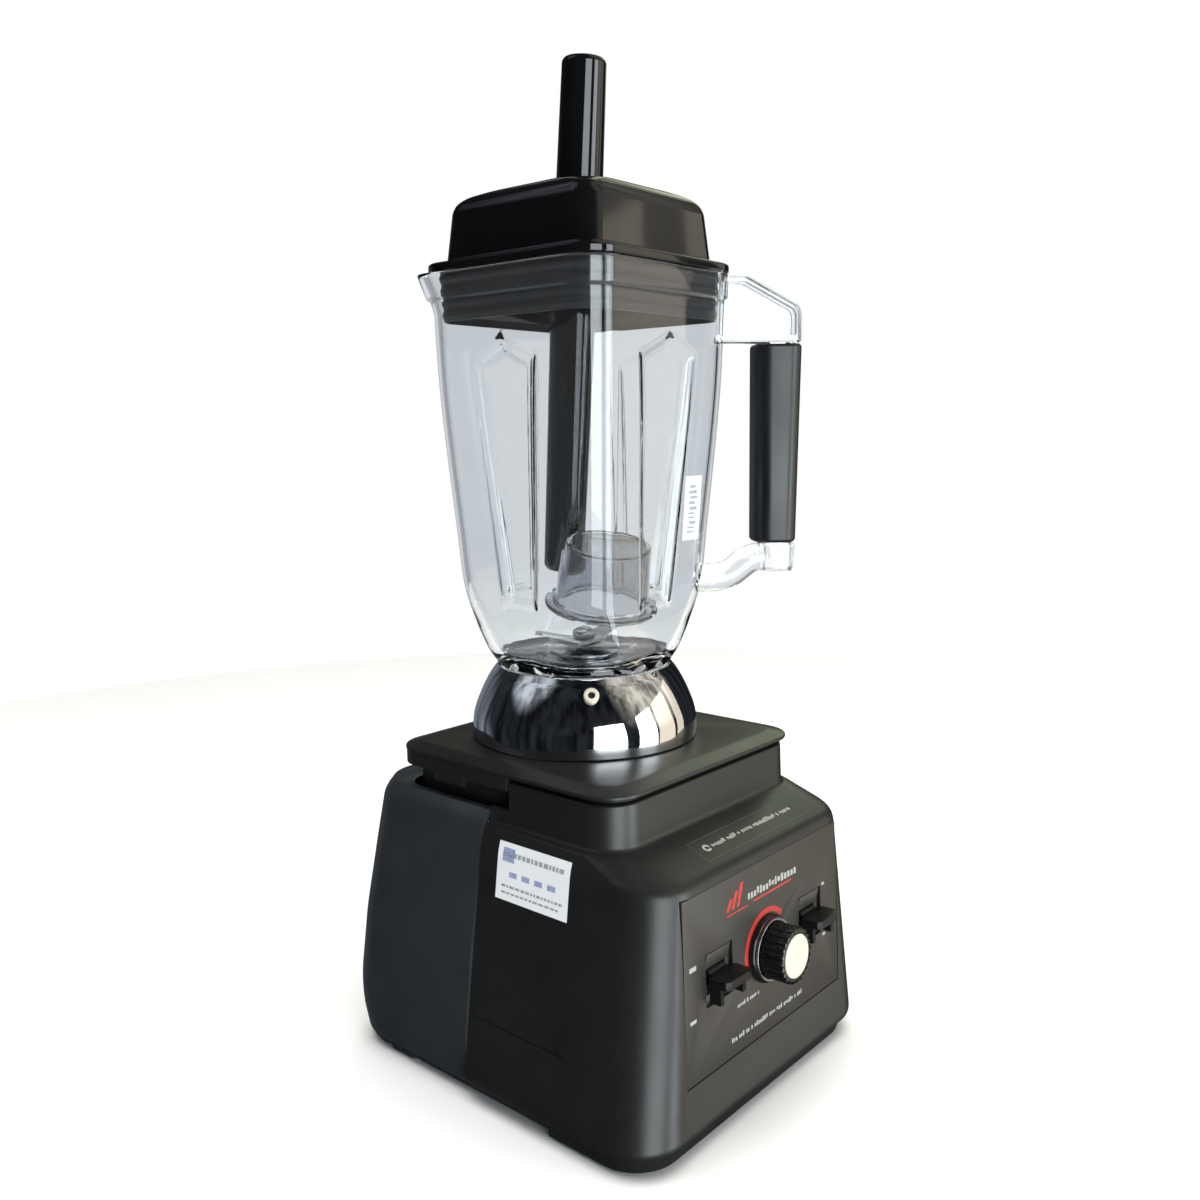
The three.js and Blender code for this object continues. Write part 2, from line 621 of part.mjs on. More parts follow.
function gripSection(z, outer) {
  return { z, outline: roundedRect(HANDLE.gripInner, outer, -HANDLE.gripHalf, HANDLE.gripHalf, 9, 3) };
}
const gripBoreHalf = HANDLE.thickness / 2 + 0.4;
addPart('handle_grip', alongHandle(cutFrom(
  loft([
    gripSection(HANDLE.gripBottom, HANDLE.gripOuterFoot),
    gripSection(HANDLE.gripTop, HANDLE.gripOuterTop),
  ]),
  block(HANDLE.coreInner - 0.4, HANDLE.coreOuter + 0.4, -gripBoreHalf, gripBoreHalf, 280, 420),
)), FINISH.satinBlack);

addPart('jug_collar', turned([
  [62.6, COLLAR.bottom], [COLLAR.radius, COLLAR.bottom], [COLLAR.radius + 0.2, 186], [64.9, 193], [63, 199.5],
  [58.4, 210], [54, 217.5], [50.4, COLLAR.top], [46.2, COLLAR.top], [46.2, 213], [54.5, 206], [60, 197],
  [62.2, 190], [62.6, COLLAR.bottom],
], 32), FINISH.chrome);

const screwTilt = THREE.MathUtils.degToRad(58);
const screwDistance = 57.6;      // from the drive axis, at the jug's corner to the left of the panel
addPart('collar_screw', rod(4.2, 0, 2.4, 16).rotateX(screwTilt).rotateZ(-Math.PI / 4)
  .translate(-screwDistance * Math.SQRT1_2, -screwDistance * Math.SQRT1_2, 214), FINISH.steel);

addPart('bearing_housing', turned([
  [11.4, 201], [16.9, 201], [16.9, 226.4], [20.5, 226.4], [20.5, 228.4], [9, 230], [5.4, 230], [5.4, 222.6],
  [11.4, 222.6], [11.4, 201],
]), FINISH.steel);
addPart('jug_bearing', ring(SHAFT.bladeRadius + GAP, 11.1, 204, 212, 20), FINISH.steel);
addPart('shaft_seal', ring(SHAFT.bladeRadius + GAP, 11.1, 217, 222.2, 20), FINISH.rubber);
addPart('retaining_nut', prism(roundedSquare(26, 25.6, 2), 202, 205.6, [
  new THREE.Path().absarc(0, 0, 17.3, 0, 2 * Math.PI, true).getPoints(24).slice(0, -1),
]), FINISH.castAluminium);

// ---------------------------------------------------------------- blade assembly
addPart('blade_shaft', joined(
  rod(SHAFT.bladeRadius, 190, 240.6, 20),
  prism(lobedOutline(SHAFT.splineInner, SHAFT.splineOuter, 6), 186, 198.6),
), FINISH.steel);

// Two arms cut to a tapered plan from a folded strip whose hub lies flat.
function makeBlade(hubBottom, hubHalf, rise) {
  const reach = BLADE.tipRadius;
  const lower = [[-reach, rise], [-hubHalf, 0], [hubHalf, 0], [reach, rise]];
  const upper = lower.map(([x, z]) => [x, z + BLADE.thickness]).reverse();
  const fold = [...lower, ...upper].map(([x, z]) => new THREE.Vector2(x, z + hubBottom));
  const strip = prism(fold, -10, 10).rotateX(Math.PI / 2);
  const [root, tip] = [BLADE.rootWidth / 2, BLADE.tipWidth / 2];
  const plan = [
    [-reach, -tip], [-hubHalf, -root], [hubHalf, -root], [reach - 4, tip - 2], [reach, tip],
    [hubHalf, root], [-hubHalf, root], [-reach + 4, -tip + 2],
  ].map(([x, y]) => new THREE.Vector2(x, y));
  const arms = overlapOf(strip, prism(plan, hubBottom - 20, hubBottom + 20));
  return cutFrom(arms, rod(SHAFT.bladeRadius + GAP, 200, 260, 20));
}
addPart('lower_blade', makeBlade(231, 11, 2.4).rotateZ(Math.PI / 2), FINISH.steel);
addPart('upper_blade', makeBlade(233.2, 9, 8.6), FINISH.steel);
addPart('blade_nut', cutFrom(
  turned([[0, 235.4], [6.6, 235.4], [6.6, 239.6], [4.5, 241.6], [0, 242.6]], 6),
  rod(SHAFT.bladeRadius + GAP, 230, 240.9, 20),
), FINISH.steel);

// ---------------------------------------------------------------- lid, tamper and cup
function makeLid() {
  const dome = squareLoft([
    { z: 421, half: 56.6, corner: 13 },
    { z: LID.flangeBottom, half: 57, corner: 14 },
    { z: LID.flangeBottom + 0.2, half: LID.flangeHalf, corner: 20.5 },
    { z: LID.flangeTop, half: LID.flangeHalf, corner: 20.5 },
    { z: LID.flangeTop + 1.5, half: 55.6, corner: 11 },
    { z: 477, half: 53.3, corner: 11.5 },
    { z: 481, half: 52, corner: 12.5 },
    { z: 484, half: 49.4, corner: 15 },
    { z: 486.4, half: 44, corner: 21 },
    { z: LID.top - 0.6, half: 37, corner: 28 },
    { z: LID.top, half: 33, corner: 31 },
  ]);
  const hollow = cutFrom(squareLoft([
    { z: 419, half: 53.6, corner: 10 },
    { z: 445, half: 53.6, corner: 10 },
    { z: 450, half: 52.4, corner: 8.5 },
    { z: 475, half: 50.4, corner: 9 },
    { z: 479, half: 48, corner: 11 },
    { z: 481, half: 42, corner: 17 },
  ]), rod(LID.holeRadius + LID.sleeveWall, LID.sleeveBottom, 500, 28));
  return cutFrom(
    dome,
    hollow,
    rod(LID.wellRadius, LID.wellFloor, 510, 32),
    rod(LID.holeRadius, 400, 510, 28),
  );
}
addPart('lid_cap', makeLid(), FINISH.glossBlack);

function makeLidSeal() {
  const wave = [];
  const ribs = 4;
  const [low, high] = [417, LID.flangeBottom - GAP];
  const pitch = (high - low) / ribs;
  for (let rib = 0; rib < ribs; rib += 1) {
    const bottom = low + rib * pitch;
    wave.push({ z: bottom, half: 58.6, corner: 15.6 });
    wave.push({ z: bottom + pitch / 2, half: 59.8, corner: 16.6 });
  }
  wave.push({ z: high, half: 58.6, corner: 15.6 });
  return cutFrom(squareLoft(wave), prism(roundedSquare(57.4, 14.4), 400, 460));
}
addPart('lid_seal', makeLidSeal(), FINISH.seal);

const lean = new THREE.Group();
lean.position.set(0, 0, LID.wellFloor);
const leanHeading = THREE.MathUtils.degToRad(TAMPER.leanHeadingDeg);
lean.quaternion.setFromAxisAngle(
  new THREE.Vector3(-Math.sin(leanHeading), Math.cos(leanHeading), 0).negate(),
  THREE.MathUtils.degToRad(TAMPER.leanDeg),
);
blender.add(lean);
addPart('tamper', turned([
  [0, -TAMPER.below], [TAMPER.tipRadius - 2, -TAMPER.below], [TAMPER.tipRadius, -TAMPER.below + 2.5],
  [TAMPER.lowRadius, -20], [TAMPER.lowRadius, 2.6], [TAMPER.flangeRadius, 2.6], [TAMPER.flangeRadius, 4.8],
  [TAMPER.radius, 5.6], [TAMPER.topRadius, TAMPER.above - 2.5], [TAMPER.topRadius - 2.4, TAMPER.above - 0.4],
  [0, TAMPER.above],
], 28), FINISH.glossBlack, lean);

const cupTilt = new THREE.Group();
cupTilt.position.set(...CUP.place);
cupTilt.rotation.set(THREE.MathUtils.degToRad(CUP.tiltDeg), THREE.MathUtils.degToRad(-CUP.tiltDeg / 2), 0);
blender.add(cupTilt);
addPart('measuring_cup', turned([
  [0, CUP.height - CUP.wall], [CUP.endRadius - CUP.wall, CUP.height - CUP.wall],
  [CUP.mouthRadius - CUP.wall, 0],
  [CUP.flangeRadius, 0], [CUP.flangeRadius, 2], [CUP.mouthRadius, 2.4], [CUP.endRadius, CUP.height],
  [0, CUP.height],
], 28), FINISH.smoke, cupTilt);

export default blender;
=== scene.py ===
"""Countertop blender: the looks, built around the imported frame. Lengths are in millimetres until a mesh is made."""
import json
import math
import random

import bpy
from mathutils import Matrix, Vector


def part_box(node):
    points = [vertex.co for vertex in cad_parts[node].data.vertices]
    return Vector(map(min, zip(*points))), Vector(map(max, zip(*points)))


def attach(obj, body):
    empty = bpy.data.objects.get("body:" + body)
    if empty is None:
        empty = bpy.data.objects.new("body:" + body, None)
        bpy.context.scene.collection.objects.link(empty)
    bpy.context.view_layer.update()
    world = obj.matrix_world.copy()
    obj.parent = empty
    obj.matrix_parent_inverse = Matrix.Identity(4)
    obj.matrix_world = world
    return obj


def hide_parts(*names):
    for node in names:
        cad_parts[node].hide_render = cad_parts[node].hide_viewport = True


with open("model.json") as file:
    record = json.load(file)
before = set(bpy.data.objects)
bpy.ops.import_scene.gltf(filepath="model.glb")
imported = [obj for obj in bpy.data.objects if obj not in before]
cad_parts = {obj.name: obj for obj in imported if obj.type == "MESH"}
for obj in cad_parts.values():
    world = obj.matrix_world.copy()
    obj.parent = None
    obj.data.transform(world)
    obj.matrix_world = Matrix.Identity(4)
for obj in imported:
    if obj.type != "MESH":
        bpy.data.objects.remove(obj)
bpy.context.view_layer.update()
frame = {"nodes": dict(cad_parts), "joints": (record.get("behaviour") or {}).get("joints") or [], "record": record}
JOINTS = {joint["name"]: joint for joint in frame["joints"]}
MM = 0.001


def box_mm(node):
    """A CAD node's lowest and highest corners, in millimetres."""
    low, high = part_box(node)
    return low / MM, high / MM


# ---------------- shapes: lists of points and faces
def arc(cx, cy, radius, start, end, steps):
    """Points along an arc, angles in degrees."""
    points = []
    for step in range(steps + 1):
        angle = math.radians(start + (end - start) * step / steps)
        points.append((cx + radius * math.cos(angle), cy + radius * math.sin(angle)))
    return points


def rounded_rect(left, right, front, back, radius, steps=10, flat=1):
    """A rectangle with round corners, from its right front corner anticlockwise; flat splits its straight sides."""
    corners = [
        (right - radius, front + radius, -90),
        (right - radius, back - radius, 0),
        (left + radius, back - radius, 90),
        (left + radius, front + radius, 180),
    ]
    points = []
    for index, (cx, cy, start) in enumerate(corners):
        points += arc(cx, cy, radius, start, start + 90, steps)
        nx, ny, after = corners[(index + 1) % 4]
        first = arc(nx, ny, radius, after, after + 90, 1)[0]
        last = points[-1]
        for part in range(1, flat):
            share = part / flat
            points.append(tuple(a + (b - a) * share for a, b in zip(last, first)))
    return points


def rounded_square(half, radius, steps=10, flat=1):
    return rounded_rect(-half, half, -half, half, radius, steps, flat)


def square_rings(path, steps):
    """Rounded squares from (height, half-width, corner radius) places."""
    return [[(x, y, z) for x, y in rounded_square(half, corner, steps)] for z, half, corner in path]


def softened(path, radius, steps=5, closed=False):
    """A path with its corners rounded by up to that radius. Its points may have any number of coordinates."""
    path = [tuple(point) for point in path]
    count = len(path)
    result = []
    for index, point in enumerate(path):
        if not closed and index in (0, count - 1):
            result.append(point)
            continue
        before, after = path[index - 1], path[(index + 1) % count]
        to_before = math.dist(point, before)
        to_after = math.dist(point, after)
        reach = min(radius, to_before * 0.45, to_after * 0.45)
        start = [p + (q - p) * reach / to_before for p, q in zip(point, before)]
        end = [p + (q - p) * reach / to_after for p, q in zip(point, after)]
        for step in range(steps + 1):
            t = step / steps
            result.append(tuple(
                (1 - t) ** 2 * a + 2 * t * (1 - t) * p + t * t * b for a, p, b in zip(start, point, end)))
    return result


def smooth_curve(keys, spacing):
    """Points through keys, each a tuple that starts with its height, on a smooth curve between them."""
    heights = [key[0] for key in keys]
    result = []
    slopes = []
    for index in range(len(keys)):
        low, high = max(index - 1, 0), min(index + 1, len(keys) - 1)
        rise = heights[high] - heights[low]
        slopes.append([(b - a) / rise for a, b in zip(keys[low][1:], keys[high][1:])])
    for index in range(len(keys) - 1):
        run = heights[index + 1] - heights[index]
        parts = max(1, math.ceil(run / spacing))
        for part in range(parts):
            t = part / parts
            h00, h10 = (1 + 2 * t) * (1 - t) ** 2, t * (1 - t) ** 2
            h01, h11 = t * t * (3 - 2 * t), t * t * (t - 1)
            values = [h00 * a + h10 * run * sa + h01 * b + h11 * run * sb for a, b, sa, sb in zip(
                keys[index][1:], keys[index + 1][1:], slopes[index], slopes[index + 1])]
            result.append((heights[index] + run * t, *values))
    result.append(tuple(keys[-1]))
    return result


def bridged(rings, loop=False):
    """A closed surface through rings of points; loop joins the last ring to the first instead of capping both."""
    points = [Vector(point) for ring in rings for point in ring]
    count = len(rings[0])
    faces = []
    spans = len(rings) if loop else len(rings) - 1
    for span in range(spans):
        low, high = span * count, ((span + 1) % len(rings)) * count
        for side in range(count):
            other = (side + 1) % count
            faces.append((low + side, low + other, high + other, high + side))
    if not loop:
        faces.append(tuple(reversed(range(count))))
        faces.append(tuple(range(len(points) - count, len(points))))
    return points, faces


def lofted(sections):
    """A closed solid through (height, outline) sections, lowest first."""
    return bridged([[(x, y, z) for x, y in outline] for z, outline in sections])


def prism(outline, low, high):
    return lofted([(low, outline), (high, outline)])


def turned(profile, sides=96, loop=False):
    """A solid of revolution about Z from (radius, height) points that run upwards on its outside."""
    points, faces, rings = [], [], []
    for radius, height in profile:
        if radius < 1e-6:
            rings.append([len(points)] * sides)
            points.append(Vector((0, 0, height)))
            continue
        rings.append(list(range(len(points), len(points) + sides)))
        for side in range(sides):
            angle = 2 * math.pi * side / sides
            points.append(Vector((radius * math.cos(angle), radius * math.sin(angle), height)))
    if loop:
        rings.append(rings[0])
    for low, high in zip(rings, rings[1:]):
        for side in range(sides):
            other = (side + 1) % sides
            corners = [low[side], low[other], high[other], high[side]]
            face = [corner for index, corner in enumerate(corners) if corner != corners[index - 1]]
            if len(face) > 2:
                faces.append(tuple(face))
    return points, faces


def rod(radius, low, high, sides=48):
    return turned([(0, low), (radius, low), (radius, high), (0, high)], sides)


def ribbed(ribs, steps, radius, depth, steepness):
    """A round outline with ribs around it."""
    outline = []
    for step in range(steps):
        angle = 2 * math.pi * step / steps
        reach = radius + depth * math.tanh(steepness * math.cos(ribs * angle))
        outline.append((reach * math.cos(angle), reach * math.sin(angle)))
    return outline


def tube(inner, outer, low, high):
    profile = softened([(inner, low), (outer, low), (outer, high), (inner, high)], 0.4, closed=True)
    return turned(profile, loop=True)


def block(left, right, front, back, low, high):
    return prism([(right, front), (right, back), (left, back), (left, front)], low, high)


def swept(path, outline):
    """An outline carried along a path of points, with no twist, and capped."""
    rings = []
    points = [Vector(point) for point in path]
    side = Vector((0, 0, 1)).cross(points[1] - points[0]).normalized()
    for index, point in enumerate(points):
        ahead = points[min(index + 1, len(points) - 1)] - points[max(index - 1, 0)]
        ahead.normalize()
        side = (side - ahead * side.dot(ahead)).normalized()
        up = ahead.cross(side)
        rings.append([point + side * u + up * v for u, v in outline])
    return bridged(rings)


def placed(shape, matrix):
    points, faces = shape
    return [matrix @ point for point in points], faces


def moved(shape, x=0.0, y=0.0, z=0.0):
    return placed(shape, Matrix.Translation((x, y, z)))


def spun(shape, degrees, axis="Z"):
    return placed(shape, Matrix.Rotation(math.radians(degrees), 4, axis))


def together(*shapes):
    points, faces = [], []
    for shape_points, shape_faces in shapes:
        start = len(points)
        points += shape_points
        faces += [tuple(corner + start for corner in face) for face in shape_faces]
    return points, faces


# ---------------- objects
def bare_object(name, shape):
    points, faces = shape
    mesh = bpy.data.meshes.new(name)
    mesh.from_pydata([point * MM for point in points], [], faces)
    mesh.update()
    obj = bpy.data.objects.new(name, mesh)
    bpy.context.scene.collection.objects.link(obj)
    return obj


def settled(obj):
    """Replaces an object's mesh by what its modifiers make of it."""
    graph = bpy.context.evaluated_depsgraph_get()
    mesh = bpy.data.meshes.new_from_object(obj.evaluated_get(graph))
    obj.modifiers.clear()
    obj.data = mesh


def combined(obj, operation, shapes):
    tools = [bare_object(f"{obj.name}_tool", shape) for shape in shapes]
    for tool in tools:
        step = obj.modifiers.new("combine", "BOOLEAN")
        step.operation = operation
        step.solver = "MANIFOLD"
        step.object = tool
    settled(obj)
    for tool in tools:
        bpy.data.objects.remove(tool)


def beveled(obj, width, angle):
    step = obj.modifiers.new("edges", "BEVEL")
    step.width = width * MM
    step.segments = 3
    step.limit_method = "ANGLE"
    step.angle_limit = math.radians(angle)
    settled(obj)


def taken_back(obj):
    """An object's mesh as a shape again; the object goes."""
    points = [vertex.co / MM for vertex in obj.data.vertices]
    faces = [tuple(face.vertices) for face in obj.data.polygons]
    bpy.data.objects.remove(obj)
    return points, faces


def carved(shape, *tools):
    """A shape with others cut out of it."""
    obj = bare_object("carved", shape)
    combined(obj, "DIFFERENCE", tools)
    return taken_back(obj)


def piece(name, shape, finish, body, slot, stands_for=(), cuts=(), adds=(), bevel=0.0, bevel_angle=50,
          smooth_angle=40):
    """One visible piece: a mesh with its finish, riding on a body and standing for CAD nodes."""
    obj = bare_object(name, shape)
    if adds:
        combined(obj, "UNION", adds)
    if cuts:
        combined(obj, "DIFFERENCE", cuts)
    if bevel:
        beveled(obj, bevel, bevel_angle)
    mesh = obj.data
    mesh.materials.clear()
    mesh.materials.append(FINISH[finish])
    mesh.shade_smooth()
    mesh.set_sharp_from_angle(angle=math.radians(smooth_angle))
    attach(obj, body)
    if stands_for:
        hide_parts(*stands_for)
    return obj


# ---------------- materials
def add_node(tree, kind, inputs=None, **settings):
    """A shader node with its settings; each input is a value, or another node's output to link from."""
    node = tree.nodes.new("ShaderNode" + kind)
    for name, value in settings.items():
        setattr(node, name, value)
    for name, value in (inputs or {}).items():
        if isinstance(value, bpy.types.NodeSocket):
            tree.links.new(value, node.inputs[name])
        else:
            node.inputs[name].default_value = value
    return node


def surface(name, color, roughness, grain=900, depth=0.02, metallic=0.0, shade=0.12, mottle=45, rough_spread=0.06,
            stretch=(1, 1, 1), tint=None, **sockets):
    """A procedural finish: mottled colour, uneven gloss and a fine grain, all in the piece's own coordinates.
    grain is its scale and depth its height in mm; shade is how much the mottling darkens the colour, and tint the
    colour that it drifts towards; sockets are the shader's other inputs."""
    material = bpy.data.materials.new(name)
    material.use_nodes = True
    tree = material.node_tree
    shader = tree.nodes["Principled BSDF"]
    shader.inputs["Metallic"].default_value = metallic
    for socket, value in sockets.items():
        shader.inputs[socket.replace("_", " ")].default_value = value
    place = add_node(tree, "TexCoord")
    mapping = add_node(tree, "Mapping", {"Vector": place.outputs["Object"], "Scale": stretch})

    def noise(scale, detail):
        inputs = {"Vector": mapping.outputs["Vector"], "Scale": scale, "Detail": detail}
        return add_node(tree, "TexNoise", inputs).outputs["Fac"]

    def ranged(factor, low, high):
        inputs = {"Value": factor, "From Min": 0.3, "From Max": 0.7, "To Min": low, "To Max": high}
        return add_node(tree, "MapRange", inputs).outputs["Result"]

    darker = (*[channel * (1 - shade) for channel in (tint or color)], 1)
    patches = ranged(noise(mottle, 4), 0, 1)
    mix = add_node(tree, "Mix", {"Factor": patches, "A": darker, "B": (*color, 1)}, data_type="RGBA")
    gloss = ranged(noise(mottle * 0.4, 5), max(0.0, roughness - rough_spread), roughness + rough_spread)
    bump = add_node(tree, "Bump", {"Height": noise(grain, 3), "Strength": 1.0, "Distance": depth * MM})
    tree.links.new(mix.outputs["Result"], shader.inputs["Base Color"])
    tree.links.new(gloss, shader.inputs["Roughness"])
    tree.links.new(bump.outputs["Normal"], shader.inputs["Normal"])
    return material


FINISH = {
    "housing": surface("housing_plastic", (0.0098, 0.0102, 0.0088), 0.36, 1500, 0.025,
                       tint=(0.0085, 0.0092, 0.0090), Specular_IOR_Level=0.5),
    # The rear housing takes a lighter, bluer copy of the housing plastic: painted light, the cool light from the left
    # and back.
    "rear_housing": surface("rear_housing_painted_light", (0.0185, 0.0212, 0.0245), 0.36, 1500, 0.025,
                            tint=(0.0165, 0.0195, 0.0230), Specular_IOR_Level=0.5),
    "dark_housing": surface("dark_housing_plastic", (0.014, 0.014, 0.014), 0.5, 1500, 0.035),
    "panel": surface("panel_overlay", (0.023, 0.020, 0.0165), 0.42, 2600, 0.012, mottle=25),
    # Near-black, for painted shade in hollows.
    "recess": surface("painted_recess_shade", (0.004, 0.004, 0.004), 0.7, 1500),
    "grey_plastic": surface("switch_plastic", (0.042, 0.040, 0.036), 0.36, 1800, 0.02),
    "gloss_black": surface("gloss_black_plastic", (0.0035, 0.0035, 0.004), 0.045, 35, 0.012, rough_spread=0.03,
                           mottle=18, IOR=1.52),
    "paddle": surface("paddle_plastic", (0.004, 0.004, 0.004), 0.35, 900, 0.01, rough_spread=0.05,
                      Specular_IOR_Level=0.25),
    "knob_grip": surface("knob_grip_plastic", (0.0045, 0.0045, 0.005), 0.16, 700, 0.01, rough_spread=0.05),
    "dull_chrome": surface("dull_chrome", (0.36, 0.38, 0.41), 0.16, 600, 0.01, metallic=1, shade=0.1),
    "satin_black": surface("satin_black_plastic", (0.006, 0.0065, 0.0075), 0.34, 1700, 0.025),
    "rubber": surface("black_rubber", (0.010, 0.010, 0.010), 0.8, 1200, 0.05),
    "chrome": surface("mirror_chrome", (0.80, 0.81, 0.83), 0.035, 28, 0.012, metallic=1, shade=0.06,
                      rough_spread=0.02),
    "steel": surface("brushed_steel", (0.52, 0.52, 0.53), 0.24, 700, 0.01, metallic=1, stretch=(1, 1, 14)),
    "ivory": surface("knob_face", (0.52, 0.475, 0.385), 0.36, 1400, 0.01, shade=0.05, mottle=120),
    "aluminium": surface("cast_aluminium", (0.42, 0.43, 0.44), 0.42, 1100, 0.06, metallic=1),
    "copper": surface("enamelled_copper", (0.52, 0.22, 0.09), 0.3, 420, 0.12, metallic=1, stretch=(1, 1, 22)),
    "laminations": surface("varnished_laminations", (0.16, 0.17, 0.18), 0.4, 300, 0.08, metallic=0.8,
                           stretch=(1, 1, 40)),
    "carbon": surface("sintered_carbon", (0.025, 0.025, 0.028), 0.6, 2200, 0.04),
    "circuit_board": surface("circuit_board", (0.02, 0.12, 0.05), 0.4, 600, shade=0.3, mottle=160),
    "clear": surface("clear_moulding", (0.81, 0.84, 0.865), 0.012, 24, 0.035, shade=0.02, rough_spread=0.01,
                     mottle=14, Transmission_Weight=1.0, IOR=1.5),
    "smoke": surface("smoky_moulding", (0.56, 0.58, 0.62), 0.03, 60, 0.03, shade=0.05, rough_spread=0.02, mottle=40,
                     Transmission_Weight=1.0, IOR=1.5),
    "seal": surface("seal_rubber", (0.012, 0.0125, 0.015), 0.42, 900, 0.03),
    "label": surface("label_paper", (0.66, 0.68, 0.70), 0.4, 1500, 0.01, shade=0.04),
    "label_grey": surface("label_grey_ink", (0.30, 0.32, 0.36), 0.45, shade=0.3, mottle=600),
    "label_blue": surface("label_blue_ink", (0.28, 0.33, 0.52), 0.45, shade=0.3, mottle=600),
    "white_ink": surface("white_print", (0.30, 0.305, 0.28), 0.45, shade=0.2, mottle=900),
    "red_ink": surface("red_print", (0.42, 0.022, 0.016), 0.4, shade=0.25, mottle=500),
    "grey_ink": surface("grey_print", (0.06, 0.063, 0.055), 0.45, shade=0.2, mottle=500),
}


# ---------------- motor base
SEAM_Y = -5.0                    # joint between the front and rear housings
SEAM_GAP = 0.3
WALL = 3.0
NECK_HALF, NECK_FRONT = 82.9, -91.4
CAP_HALF, CAP_FRONT, CAP_BACK, CAP_BOTTOM, CAP_TOP = 85.0, -93.5, 74.0, 174.9, 180.0

# The panel's own frame: x across, y into the base, z up the face, with its origin on the knob's axis.
knob_axis = Vector(JOINTS["knob_turn"]["axis"])
knob_place = Vector(JOINTS["knob_turn"]["pos_m"]) / MM
panel_up = Vector((1, 0, 0)).cross(knob_axis)
PANEL_FRAME = Matrix.Translation(knob_place) @ Matrix((
    (1, knob_axis.x, panel_up.x, 0), (0, knob_axis.y, panel_up.y, 0), (0, knob_axis.z, panel_up.z, 0),
    (0, 0, 0, 1)))
PANEL_HALF, PANEL_LOW, PANEL_HIGH = 73.8, -45.4, 48.7
SWITCH_X, SWITCH_UP = 44.0, 2.4


def on_panel(shape):
    return placed(shape, PANEL_FRAME)


def facing_out(shape):
    """Turns a shape made along +Z so that it points out of the panel."""
    return spun(shape, 90, "X")


def housing_rings(path, ring):
    return bridged([[(x, y, z) for x, y in ring(*rest)] for z, *rest in path])


# Height, half-width, front and corner radius of the front housing's outside.
FRONT_PATH = softened([
    (2, 101.4, -123.0, 25), (10.6, 102.6, -125.0, 26), (11.0, 103.2, -126.0, 26), (11.4, 105.4, -128.8, 27),
    (14.5, 105.8, -129.3, 27), (137.2, 90.6, -125.2, 27), (148, 87.2, -95.5, 22),
    (149.6, 83.4, -91.9, 20), (171.6, NECK_HALF, NECK_FRONT, 20), (172.4, NECK_HALF - 0.8, NECK_FRONT + 0.8, 19.5),
    (172.7, NECK_HALF - 3, NECK_FRONT + 3, 18), (174.5, NECK_HALF - 3.2, NECK_FRONT + 3.2, 18),
], 6, 6)
REAR_PATH = softened([
    (7, 100.4, 98, 27), (8, 101.8, 99.2, 28), (24, 104, 101.6, 28), (40, 104.2, 102, 28), (80, 99.5, 100.8, 28),
    (120, 92.8, 98, 28), (148, 88.4, 95.4, 28), (155, 84, 91, 26),
], 7, 6)


def front_ring(half, front, corner):
    return rounded_rect(-half, half, front, SEAM_Y + 45, corner, 12)


def rear_ring(half, back, corner):
    return rounded_rect(-half, half, SEAM_Y - 45, back, corner, 12)


def thinner(path, side):
    """The inside of a housing: its outside moved in by the wall, with its ends beyond the outside's."""
    return [(z, half - WALL, reach + side * WALL, corner - WALL) for z, half, reach, corner in path]


def build_front_housing():
    inner = thinner(FRONT_PATH, 1)
    lowered = [(z - WALL if z > 134 else z, *rest) for z, *rest in inner]
    lowered[0] = (-1, *lowered[0][1:])
    lowered = [section for section in lowered if section[0] < 170] + [(178, NECK_HALF - 6, NECK_FRONT + 6, 15)]
    pocket = block(-PANEL_HALF, PANEL_HALF, -5, 2.9, PANEL_LOW, PANEL_HIGH)
    rim = 3.5
    window = block(-PANEL_HALF + rim, PANEL_HALF - rim, -5, 15, PANEL_LOW + rim, PANEL_HIGH - rim)
    line_floor = [(z, half - 0.5, front, corner) for z, half, front, corner in FRONT_PATH]
    side_lines = carved(block(-110, 110, -72, -7, 47.2, 48.0), housing_rings(line_floor, front_ring))
    piece("front_shell", housing_rings(FRONT_PATH, front_ring), "housing", "base", "housing", ["front_housing"],
          cuts=[
              housing_rings(lowered, front_ring),
              block(-200, 200, SEAM_Y - SEAM_GAP / 2, 200, -10, 300),
              block(-200, 200, -62, 0, -10, 7),
              block(-200, 200, -19.3, 0, 157, 200),
              on_panel(pocket),
              on_panel(window),
              side_lines,
          ], bevel=0.7)


def build_rear_housing():
    inner = thinner(REAR_PATH, -1)
    inner[0] = (3, *inner[0][1:])
    inner[-1] = (154.5, *inner[-1][1:])
    slots = [prism(rounded_rect(-38, 38, -2, 2, 1.9, 5), 80, 120) for row in range(6)]
    slots = [moved(spun(slot, -90, "X"), z=62 + row * 9) for row, slot in enumerate(slots)]
    holes = [moved(spun(rod(radius, 80, 125), -90, "X"), x=x, z=30) for x, radius in ((-50, 6), (50, 6.2))]
    # The rear shell's lighter, bluer plastic is painted light from the left and back.
    piece("rear_shell", housing_rings(REAR_PATH, rear_ring), "rear_housing", "base", "housing", ["rear_housing"],
          cuts=[
              housing_rings([section for section in inner if section[0] < 151] + [inner[-1]], rear_ring),
              block(-200, 200, -200, SEAM_Y + SEAM_GAP / 2, -10, 300),
              prism(rounded_rect(-79.5, 79.5, -60, 70, 14), 140, 170),
              *slots,
              *holes,
          ], bevel=0.7)


